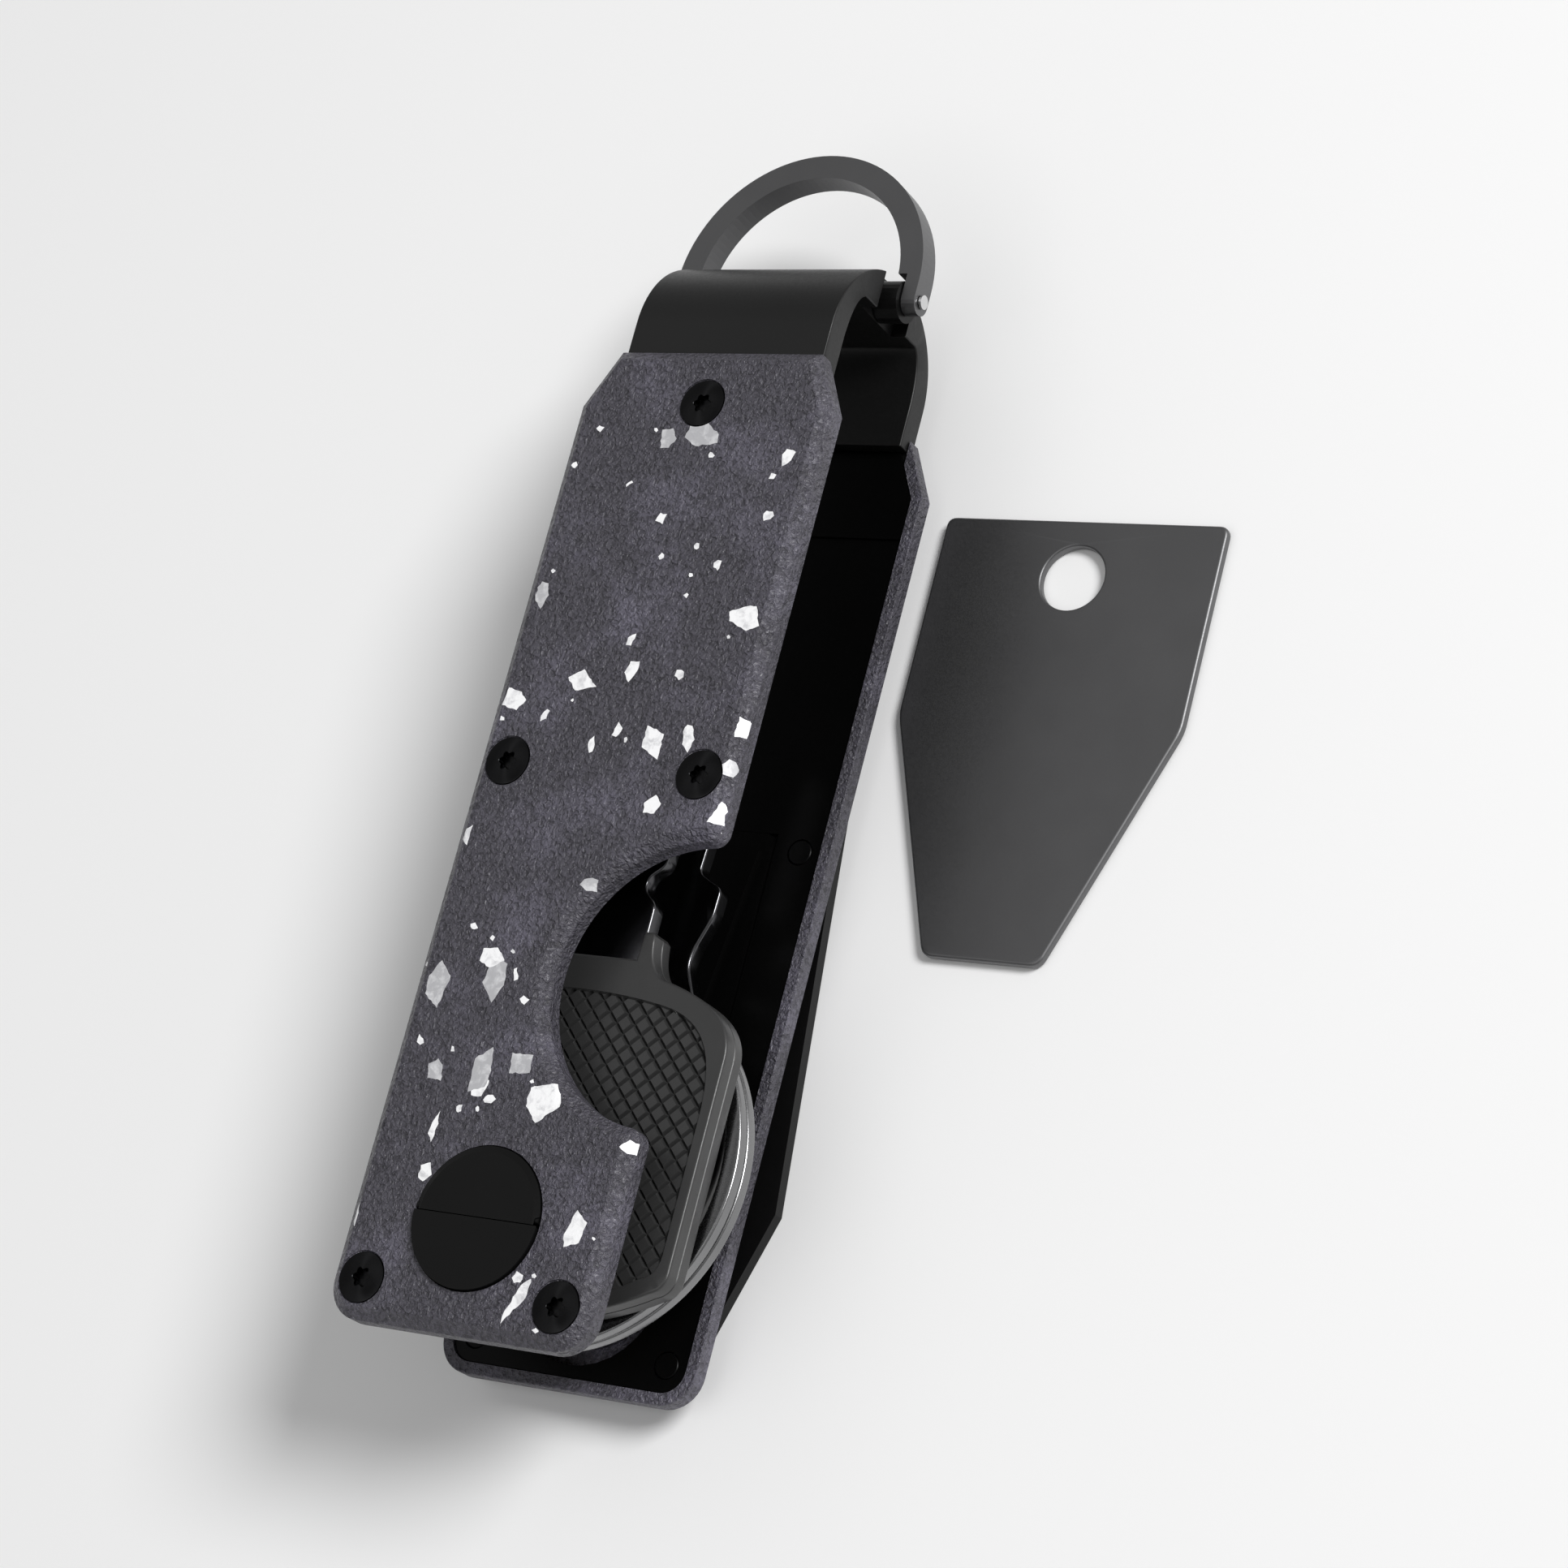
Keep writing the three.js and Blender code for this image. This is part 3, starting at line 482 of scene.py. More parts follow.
def makeCamera():
    view = cameraView
    azimuth, elevation = math.radians(view["azimuth"]), math.radians(view["elevation"])
    level = math.cos(elevation)
    back = Vector((math.sin(azimuth) * level, -math.cos(azimuth) * level, math.sin(elevation)))
    data = bpy.data.cameras.new("camera")
    data.lens = view["lens"]
    data.clip_start = view["nearest"] * mm
    camera = bpy.data.objects.new("camera", data)
    studio.collection.objects.link(camera)
    roll = Matrix.Rotation(math.radians(view["roll"]), 3, "Z")
    turn = (-back).to_track_quat("-Z", "Y").to_matrix() @ roll
    spot = Vector(view["aim"]) * mm + back * view["distance"] * mm
    camera.matrix_world = Matrix.Translation(spot) @ turn.to_4x4()
    studio.camera = camera


makeCamera()


# scales: the outline, its bevelled face with the chips set flush in it, and the liner's pocket behind

frontLow, frontHigh = nodeBox("front_scale")
rearLow, rearHigh = nodeBox("rear_scale")
scaleSize = {
    "bevelWide": 0.9, "bevelDeep": 0.76, "topChamfer": (2.25, 4.55), "cornerR": 2.7,
    "cutoutY": 18.5, "cutoutR": 10.6, "lipR": 1.1, "rim": 0.9, "pocket": 0.8,
    "screwHoleR": 1.95, "shankHoleR": 1.05, "seatR": 5.3, "seatDeep": 1.0, "stemHoleR": 1.8,
    "strapWayHalf": 8.74, "strapWayLong": 2.2, "wallFoot": 0.08, "wallFootIn": 0.07, "headDrop": 0.1,
    "countersink": 0.9, "rearSeatR": 4.7, "postHoleR": 2.9,
}
screwPlaces = [(0, 62.8), (-8.27, 33.8), (8.27, 33.8), (-8.27, -5.3), (8.27, -5.3)]


def scaleOutline(cutout):
    half, low, top = frontHigh.x, frontLow.y, frontHigh.y
    r = scaleSize["cornerR"]
    chamferX, chamferY = scaleSize["topChamfer"]
    loop = arc(-half + r, low + r, r, 180, 270, 10) + arc(half - r, low + r, r, 270, 360, 10)
    if cutout:
        middle, bite, lip = scaleSize["cutoutY"], scaleSize["cutoutR"], scaleSize["lipR"]
        rise = math.sqrt((bite + lip) ** 2 - lip ** 2)
        turn = math.degrees(math.atan2(rise, lip))
        loop += arc(half - lip, middle - rise, lip, 0, turn, 8)
        loop += arc(half, middle, bite, 180 + turn, 180 - turn, 72)[1:-1]
        loop += arc(half - lip, middle + rise, lip, -turn, 0, 8)
    loop += [(half, top - chamferY), (half - chamferX, top)]
    loop += [(-half + chamferX, top), (-half, top - chamferY)]
    return loop


flakeSize = {"uneven": 0.3, "reach": (0.72, 1.22), "step": 0.3, "ragged": 0.07}


def chipShape(draw, x, y, wide, tall, turn):  # a broken flake: few corners, ragged sides
    uneven, ragged = flakeSize["uneven"], flakeSize["ragged"]
    corners = draw.choice((4, 5, 5, 6))
    begin = draw.uniform(0, 2 * math.pi)
    points = []
    for i in range(corners):
        a = begin + 2 * math.pi * (i + draw.uniform(-uneven, uneven)) / corners
        reach = draw.uniform(*flakeSize["reach"])
        points.append(Vector((math.cos(a) * reach * wide / 2, math.sin(a) * reach * tall / 2)))
    sides = []
    for i, here in enumerate(points):
        there = points[(i + 1) % corners]
        steps = max(1, round((there - here).length / flakeSize["step"]))
        for k in range(steps):
            wobble = ragged if k else 0.0
            shift = Vector((draw.uniform(-wobble, wobble), draw.uniform(-wobble, wobble)))
            sides.append(here.lerp(there, k / steps) + shift)
    spin = Matrix.Rotation(math.radians(turn), 2)
    return [tuple(spin @ p + Vector((x, y))) for p in sides]


def outlineDistance(points, loop):  # how far each point lies from the outline
    p = np.array(points)[:, None, :]
    a = np.array(loop)[None]
    b = np.roll(a, -1, axis=1)
    along = np.clip(((p - a) * (b - a)).sum(2) / ((b - a) ** 2).sum(2), 0, 1)
    return np.linalg.norm(p - (a + along[..., None] * (b - a)), axis=2).min(1)


def boundaryLoops(edges):  # ordered vertex loops of open edges
    left = dict.fromkeys(edges)  # keeps its order, so every run makes the same mesh
    loops = []
    while left:
        edge = next(iter(left))
        del left[edge]
        loop = [edge.verts[0], edge.verts[1]]
        while True:
            onward = [e for e in loop[-1].link_edges if e in left]
            if not onward:
                break
            del left[onward[0]]
            loop.append(onward[0].other_vert(loop[-1]))
        if loop[0] is loop[-1]:
            loop.pop()
        loops.append(loop)
    return loops


def lowerRing(bm, loop, place):  # a ring of new vertices under a loop, skinned to it
    fresh = [bm.verts.new(place(v)) for v in loop]
    for i, v in enumerate(loop):
        j = (i + 1) % len(loop)
        bm.faces.new((v, fresh[i], fresh[j], loop[j]))
    return fresh


def bevelSection(wide, deep):  # from the side wall over both rounded edges of the bevel: (step in, depth)
    slope = deep / wide
    return [(0.0, deep + 0.05), (0.02, deep - 0.005), (0.05, deep - 0.045), (wide - 0.06, 0.06 * slope),
            (wide - 0.01, 0.02), (wide + 0.05, 0.0)]


def scalePiece(cutout, chips, seat, through):  # face up, its back in the level z = 0
    size = scaleSize
    outline = scaleOutline(cutout)
    thick = frontHigh.z - frontLow.z
    edge = bevelSection(size["bevelWide"], size["bevelDeep"])
    holes = [circle(x, y, size["screwHoleR"], 48) for x, y in screwPlaces] + [circle(0, 0, seat, 96)]
    levels = [inset(outline, step) for step, _ in edge[1:]]
    regions = [outline, *holes, *levels, *[shape for _, shape in chips]]
    coords, faces = [], []
    for loop in regions:
        faces.append(list(range(len(coords), len(coords) + len(loop))))
        coords.extend(Vector(p) for p in loop)
    flat, _, triangles, _, _, owners = delaunay_2d_cdt(coords, [], faces, 1, 1e-5)
    holeIds = set(range(1, 1 + len(holes)))
    firstChip = 1 + len(holes) + len(levels)
    depth = np.interp(outlineDistance(flat, outline), [s for s, _ in edge], [d for _, d in edge])
    bm = bmesh.new()
    verts = [bm.verts.new((p.x * mm, p.y * mm, (thick - d) * mm)) for p, d in zip(flat, depth)]
    for triangle, owner in zip(triangles, owners):
        if 0 not in owner or holeIds & set(owner):
            continue
        found = sorted(i for i in owner if i >= firstChip)
        face = bm.faces.new([verts[i] for i in triangle])
        face.material_index = chips[found[0] - firstChip][0] if found else 0
    bmesh.ops.delete(bm, geom=[v for v in bm.verts if not v.link_faces], context="VERTS")
    inside = []
    for loop in boundaryLoops([e for e in bm.edges if len(e.link_faces) == 1]):
        centre = sum((v.co for v in loop), Vector()) / len(loop) / mm
        reach = max((v.co / mm - centre).to_2d().length for v in loop)
        if reach > frontHigh.x:  # the scale's own edge
            wall = lowerRing(bm, loop, lambda v: Vector((v.co.x, v.co.y, size["wallFoot"] * mm)))
            ordered = [(v.co.x / mm, v.co.y / mm) for v in wall]
            area = sum(a[0] * b[1] - b[0] * a[1] for a, b in zip(ordered, ordered[1:] + ordered[:1]))
            way = 1 if area > 0 else -1
            rim = dict(zip(wall, inset(ordered, way * size["wallFootIn"])))
            rimRing = lowerRing(bm, wall, lambda v: Vector((rim[v][0] * mm, rim[v][1] * mm, 0)))
            continue
        hole = min(screwPlaces + [(0, 0)], key=lambda p: (Vector(p) - centre.to_2d()).length)
        middle = Vector(hole)

        def scaled(factor, z):
            return lambda v: Vector((
                (middle.x + (v.co.x / mm - middle.x) * factor) * mm,
                (middle.y + (v.co.y / mm - middle.y) * factor) * mm, z * mm))

        if hole == (0, 0):
            seatZ = thick - size["seatDeep"] - 0.02
            wall = lowerRing(bm, loop, scaled(1, seatZ))
            inside.append(lowerRing(bm, wall, scaled(through / reach, seatZ)))
        else:
            step = lowerRing(bm, loop, scaled(1, thick - size["headDrop"]))
            shank = scaled(size["shankHoleR"] / reach, thick - size["countersink"])
            inside.append(lowerRing(bm, step, shank))

    def toPocket(v):
        return Vector((v.co.x, v.co.y, size["pocket"] * mm))

    floorHoles = [lowerRing(bm, loop, toPocket) for loop in inside]
    pocket = inset(outline, size["rim"])
    mouth = ring(bm, pocket, 0)
    floor = ring(bm, pocket, size["pocket"])
    skin(bm, mouth, floor)
    cap(bm, rimRing, mouth)
    cap(bm, floor, *floorHoles)
    return bm


def hangScale(bm, name, node, body, front):
    base = frontLow.z if front else rearHigh.z
    move = Matrix.Translation((0, 0, base * mm))
    if not front:
        move = move @ Matrix.Rotation(math.pi, 4, "Y")
    shell = finishMesh(bm, name, [stone, paleChip, greyChip], body, [node], move=move)
    half, top = scaleSize["strapWayHalf"], frontHigh.y
    inner = scaleSize["pocket"] - 0.02
    low, high = (base - 1, base + inner) if front else (base - inner, base + 1)
    cutBoxes(shell, [((-half, top - scaleSize["strapWayLong"], low), (half, top + 1, high))])


# the flakes of the front face: x, y, width, height, turn, and 1 for pale or 2 for grey
frontFlakes = [
    (1.0, 60.3, 2.9, 2.5, 15, 2), (-2.1, 59.8, 1.4, 2.0, 5, 2), (-8.3, 60.5, 0.8, 0.7, 20, 1),
    (-9.7, 57.5, 0.6, 0.6, 0, 1), (-4.4, 56.1, 0.6, 0.4, 30, 1), (8.6, 58.6, 1.0, 2.0, -10, 1),
    (7.8, 57.0, 0.6, 0.6, 0, 1), (8.3, 54.0, 1.0, 0.9, 30, 1), (-0.7, 53.4, 1.3, 1.3, 10, 1),
    (0.2, 50.4, 0.5, 0.5, 0, 1), (2.9, 51.3, 0.5, 0.6, 0, 1), (5.1, 49.9, 0.8, 1.0, 20, 1),
    (3.1, 49.0, 0.4, 0.4, 0, 1), (3.2, 47.4, 0.6, 0.5, 0, 1), (8.6, 46.0, 2.7, 2.0, -25, 1),
    (-9.4, 47.1, 1.5, 2.6, 0, 2), (-0.5, 43.6, 0.7, 1.4, -15, 1), (0.3, 41.4, 0.9, 1.9, -10, 1),
    (4.5, 41.3, 0.9, 0.8, 0, 1), (-3.6, 40.4, 2.4, 2.2, 20, 1), (-9.1, 38.5, 2.0, 2.3, 10, 1),
    (-6.1, 37.5, 0.6, 1.4, -30, 1), (0.5, 36.8, 0.9, 1.2, 0, 1), (3.7, 36.1, 2.4, 3.4, 15, 1),
    (6.6, 36.5, 1.0, 2.0, 10, 1), (-1.4, 35.4, 0.6, 1.6, 5, 1), (5.1, 31.1, 1.4, 1.7, 0, 1),
    (10.6, 31.1, 1.5, 2.0, 0, 1), (10.7, 37.7, 1.2, 1.7, 0, 1), (10.5, 34.6, 1.4, 1.2, 20, 2),
    (-9.9, 27.9, 0.8, 1.8, 0, 1), (1.6, 25.0, 1.2, 1.4, 0, 2), (-7.1, 21.0, 0.8, 0.5, 0, 1),
    (-4.9, 18.8, 2.1, 1.7, 5, 1), (-4.1, 17.1, 2.4, 3.8, 10, 2), (-8.7, 16.5, 2.2, 3.4, 15, 2),
    (-2.4, 17.8, 0.5, 1.2, 20, 1), (-1.1, 16.0, 0.8, 0.8, 0, 1), (-0.1, 11.4, 2.1, 2.8, 10, 2),
    (3.1, 9.0, 3.0, 3.1, 25, 1), (-3.1, 10.4, 1.8, 4.2, -12, 2), (-2.9, 9.4, 1.6, 1.8, 0, 1),
    (-6.9, 10.1, 1.3, 2.8, 35, 2), (-1.7, 8.5, 1.1, 0.9, 0, 1), (-4.0, 7.6, 0.6, 0.6, 0, 1),
    (-5.7, 5.9, 0.8, 2.3, -5, 1), (-5.5, 2.8, 1.3, 1.5, 10, 1), (8.1, 0.1, 1.9, 2.6, -10, 1),
    (5.0, -5.3, 0.9, 3.1, -25, 1), (4.6, -3.7, 0.8, 0.8, 0, 1), (10.6, 6.5, 1.7, 1.1, 0, 1),
    (7.2, -7.1, 0.6, 0.6, 0, 1), (-10.2, -1.0, 0.4, 1.8, 0, 1), (-8.9, 12.2, 0.6, 1.0, 30, 1),
]


chipPlan = {
    "frontSeed": 41, "crumbFrom": 2.4, "crumbSize": (0.25, 0.45), "crumbAway": 0.25,
    "rearSeed": 7, "rearCount": 52, "rearSizes": (0.6, 0.8, 1.2, 1.8, 2.4, 2.9), "apart": 0.75,
    "postClear": 6.0, "screwClear": 2.4,
}


def frontChips():
    plan = chipPlan
    draw = random.Random(plan["frontSeed"])
    chips = []
    for x, y, wide, tall, turn, tone in frontFlakes:
        chips.append((tone, chipShape(draw, x, y, wide, tall, turn)))
        if wide * tall > plan["crumbFrom"]:  # a crumb broken off beside each large flake
            side = draw.uniform(0, 2 * math.pi)
            away = 0.6 * max(wide, tall) + plan["crumbAway"]
            crumb = draw.uniform(*plan["crumbSize"])
            crumbX, crumbY = x + math.cos(side) * away, y + math.sin(side) * away
            chips.append((1, chipShape(draw, crumbX, crumbY, crumb, crumb * 1.3, draw.uniform(0, 90))))
    return chips


def rearChips():  # scattered flakes, kept apart from each other, the edge, the post and the screws
    plan = chipPlan
    draw = random.Random(plan["rearSeed"])
    chips = []
    placed = [(0, 0, plan["postClear"])] + [(x, y, plan["screwClear"]) for x, y in screwPlaces]
    outline = scaleOutline(False)
    while len(chips) < plan["rearCount"]:
        x, y = draw.uniform(frontLow.x, frontHigh.x), draw.uniform(frontLow.y + 1, frontHigh.y - 3)
        size = draw.choice(plan["rearSizes"])
        room = size * plan["apart"]
        if outlineDistance([(x, y)], outline)[0] < room + scaleSize["bevelWide"]:
            continue
        if all(math.hypot(x - a, y - b) > r + room for a, b, r in placed):
            placed.append((x, y, room))
            wide, tall = size * draw.uniform(0.6, 0.9), size * draw.uniform(0.9, 1.3)
            shape = chipShape(draw, x, y, wide, tall, draw.uniform(-40, 40))
            chips.append((draw.choice((1, 1, 2)), shape))
    return chips


frontMesh = scalePiece(True, frontChips(), scaleSize["seatR"], scaleSize["stemHoleR"])
hangScale(frontMesh, "front_scale_shell", "front_scale", "front", True)
rearMesh = scalePiece(False, rearChips(), scaleSize["rearSeatR"], scaleSize["postHoleR"])
hangScale(rearMesh, "rear_scale_shell", "rear_scale", "back", False)
print("scales made")


# pieces whose CAD shape is already right: they keep it, with softened edges
keepNode("front_liner", blackPlate, 0.05)
keepNode("rear_liner", blackPlate, 0.05)
keepNode("rear_pad", blackPlate, 0.06)
keepNode("pad_tongue", blackPlate, 0.05)
keepNode("post", blackSteel, 0.08)
for spacer in ("rear_spacer", "middle_spacer", "front_spacer"):
    keepNode(spacer, bronze, 0.08)
keepNode("pocket_clip", blackSteel, 0.12, 3)
keepNode("shackle_pin", brightSteel, 0.06, 3)
keepNode("left_bush", blackSteel, 0.15, 3)
keepNode("right_bush", blackSteel, 0.15, 3)
keepNode("wing_pin", brightSteel, 0)
keepNode("thumb_screw", blackSteel, 0.03)
keepNode("thumb_wing", blackSteel, 0.03)
keepNode("shackle", gunmetal, 0.12, 3)
print("plain pieces made")


# countersunk screws with a six-lobe drive
screwSize = {
    "lobeR": 0.75, "lobeDeep": 0.5, "lobeSwing": 0.14, "headDeep": 0.85, "rim": 0.1, "headPastShank": 0.95,
    "edge": 0.06,
}


def lobes(r):
    swing = screwSize["lobeSwing"]
    turns = [2 * math.pi * i / 72 for i in range(72)]
    reach = [r * (1 - swing + swing * math.cos(6 * a)) for a in turns]
    return [(d * math.cos(a), d * math.sin(a)) for d, a in zip(reach, turns)]


def screwPiece(node, body, up):
    low, high = nodeBox(node)
    headR = (high.x - low.x) / 2
    long = high.z - low.z
    size = screwSize
    step, edge = headR - size["headPastShank"], size["edge"]
    bm = bmesh.new()
    profile = [(step + edge, -long), (step, -long + edge), (step, -size["headDeep"]),
               (0.0, -size["rim"]), (0.0, -edge), (0.02, -0.02), (0.07, 0.0)]
    bottom, top = tower(bm, circle(0, 0, headR, 64), profile)
    cap(bm, bottom)
    mouth = ring(bm, lobes(size["lobeR"] + 0.04), 0)
    brim = ring(bm, lobes(size["lobeR"]), -0.04)
    floor = ring(bm, lobes(size["lobeR"] * 0.94), -size["lobeDeep"])
    skin(bm, brim, mouth)
    skin(bm, floor, brim)
    cap(bm, floor)
    cap(bm, top, mouth)
    faceZ = high.z if up else low.z
    move = Matrix.Translation(Vector(((low.x + high.x) / 2, (low.y + high.y) / 2, faceZ)) * mm)
    if not up:
        move = move @ Matrix.Rotation(math.pi, 4, "Y")
    for face in bm.faces:
        if face.calc_center_median().z < -size["headDeep"] * mm:
            face.material_index = 1
    finishMesh(bm, node + "_turned", [turnedSteel, blackPlate], body, [node], move=move)


for i in range(1, 6):
    screwPiece(f"front_screw_{i}", "front", True)
    screwPiece(f"rear_screw_{i}", "back", False)
for i in (1, 2):
    screwPiece(f"clip_screw_{i}", "back", False)
print("screws made")


# strap: one moulded loop whose ends are clamped under both scales
strapSize = {
    "wall": 2.05, "domeStart": 70.0, "roof": 73.95, "roofHalf": 4.1, "sink": 1.1,
    "notchDeep": 1.3, "notchHalf": 2.4, "notchFloor": 73.9, "gap": 0.1, "edge": 0.14,
    "tongueThick": 0.35, "roofEase": (0.6, 0.2), "blendHalf": 5.5,
}


def strapPiece():
    size = strapSize
    low, high = nodeBox("strap_loop")
    middle = (low.z + high.z) / 2
    outer = (frontHigh.z - rearLow.z) / 2 - size["sink"]
    inner = outer - size["wall"]
    face = (frontLow.z - rearHigh.z) / 2 + scaleSize["pocket"] - size["gap"] / 2
    tongue = face - size["tongueThick"]
    step = frontHigh.y + size["gap"]
    ledge = frontHigh.y - scaleSize["rim"]
    dome, roof, roofHalf = size["domeStart"], size["roof"], size["roofHalf"]
    front = [(low.y, face), (step, face), (step, outer), (dome, outer)]
    front += [(dome + (high.y - dome) * math.sin(a), outer * math.cos(a))
              for a in [math.pi / 2 * i / 20 for i in range(1, 20)]]
    outside = front + [(high.y, 0)] + [(y, -z) for y, z in reversed(front)]
    under = [(low.y, tongue), (ledge, tongue), (ledge, inner), (dome, inner)]
    easeY, easeZ = size["roofEase"]
    under += bezier([(dome, inner), (roof - easeY, inner - easeZ), (roof, roofHalf)], 12)
    profile = outside + [(y, -z) for y, z in under] + list(reversed(under))
    profile = list(reversed(profile))
    bm = bmesh.new()
    plate(bm, profile, edgeProfile(low.x, high.x, size["edge"]))
    # drawn as (y, z) and pulled up along x, so its axes are swapped
    swap = Matrix(((0, 0, 1, 0), (1, 0, 0, 0), (0, 1, 0, middle * mm), (0, 0, 0, 1)))
    strap = finishMesh(bm, "strap_moulding", [strapRubber], None, ["strap_loop"], move=swap)
    notchIn, past = high.x - size["notchDeep"], high.x + 1
    cutBoxes(strap, [
        ((min(side * notchIn, side * past), size["notchFloor"], middle - size["notchHalf"]),
         (max(side * notchIn, side * past), high.y + 1, middle + size["notchHalf"]))
        for side in (-1, 1)])
    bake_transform(strap)


strapPiece()
print("strap made")


# keys: moulded head with a sunk diamond grip, and a milled blade through its slot
keySize = {
    "edge": 0.22, "seam": 0.1, "border": 0.85, "pitch": 1.1, "grooveWide": 0.34, "grooveDeep": 0.3,
    "sink": 0.18, "eyeR": 2.9, "eyeEdge": 0.12, "bossR": 4.7, "gripFall": 0.14, "gripClear": 4.4,
    "bladeThick": 1.4, "bladeEdge": 0.2, "bladeCorner": 0.55, "blankGroove": 0.35, "grooveX": 1.1,
    "grooveHalf": 0.65, "grooveCorner": 0.4, "grooveWall": 0.2,
}
squareHead = {
    "halfWidth": 13.7, "top": 21.1, "shoulder": 14.5, "low": -1.9, "bottom": -5.6, "hornHigh": 23.2,
    "hornInner": 4.3, "hornOuter": 5.4, "panelTop": 18.5,
}
ovalHead = {"y": 8.4, "halfWidth": 11.6, "halfHeight": 12.0}
cutBlade = {
    "half": 4.4, "root": 8.0, "tip": 56.0, "firstCut": 26.9, "pitch": 4.2, "point": 4.2, "tipHalf": 1.1,
    "cuts": (1.2, 0.7, 1.5, 1.0, 1.4, 0.6),
}
slimEdge = [
    (5.0, 8.0), (5.0, 20.4), (4.1, 22.0), (3.6, 23.0), (3.65, 24.2), (4.4, 26.8), (4.35, 29.1),
    (2.1, 30.0), (2.1, 42.0), (0.9, 44.0),
]


def squareBow():
    s = squareHead
    w, top, low = s["halfWidth"], s["top"], s["low"]
    right = [(0, s["bottom"])]
    right += bezier([(0, s["bottom"]), (w * 0.5, s["bottom"]), (w - 1.2, low - 0.7)], 14)
    right += bezier([(w - 1.2, low - 0.7), (w, low - 0.3), (w, low + 0.9)], 7)
    right += [(w, s["shoulder"])]
    right += bezier([(w, s["shoulder"]), (w, s["shoulder"] + 3), (w * 0.8, top - 2.3),
                     (s["hornOuter"] + 1.6, top - 1.3)], 16)
    right += bezier([(s["hornOuter"] + 1.6, top - 1.3), (s["hornOuter"] + 0.2, top - 0.8),
                     (s["hornOuter"], s["hornHigh"] - 0.3)], 10)
    right += [(s["hornOuter"] - 0.3, s["hornHigh"]), (s["hornInner"] + 0.3, s["hornHigh"]),
              (s["hornInner"] + 0.1, s["hornHigh"] - 0.2), (s["hornInner"], top)]
    return mirrored(right)


def squareGrip():
    s = squareHead
    w, low, top = s["halfWidth"] - keySize["border"], s["low"], s["panelTop"]
    right = [(0, s["bottom"] + keySize["border"])]
    right += bezier([right[0], (w * 0.5, right[0][1]), (w - 1.4, low + 0.2)], 12)
    right += bezier([(w - 1.4, low + 0.2), (w, low + 0.5), (w, low + 2.2)], 6)
    right += [(w, 10.0)]
    right += bezier([(w, 10.0), (w, 15.2), (w * 0.86, 17.3), (w * 0.58, top - 0.6)], 14)
    right += bezier([(w * 0.58, top - 0.6), (w * 0.3, top), (0, top)], 8)[:-1]
    right += [(0, top)]
    return mirrored(right)


def ovalBow(border=0.0):
    s = ovalHead
    turns = [math.radians(a) for a in range(0, 360, 4)]
    return [((s["halfWidth"] - border) * math.cos(a), s["y"] + (s["halfHeight"] - border) * math.sin(a))
            for a in turns]


def cutEdge():  # right-hand edge of a blade with one flat-floored cut for each depth
    s = cutBlade
    w = s["half"]
    right = [(w, s["root"])]
    for i, depth in enumerate(s["cuts"]):
        y = s["firstCut"] + i * s["pitch"]
        reach = 0.5 + 0.8 * depth
        right += [(w, y - reach), (w - depth, y - 0.5), (w - depth, y + 0.5), (w, y + reach)]
    return right + [(w, s["tip"] - s["point"]), (s["tipHalf"], s["tip"])]


keyShapes = {
    "a": {"bow": squareBow(), "grip": squareGrip(), "turn": 0.0, "edge": cutEdge(), "groove": (19.0, 50.0)},
    "b": {"bow": ovalBow(), "grip": ovalBow(keySize["border"]), "turn": -3.0, "edge": slimEdge,
          "groove": (21.0, 41.0)},
}


def diamond(x, y, half):
    corners = ((-half, -half), (half, -half), (half, half), (-half, half))
    return [((a - b) * math.sqrt(0.5) + x, (a + b) * math.sqrt(0.5) + y) for a, b in corners]


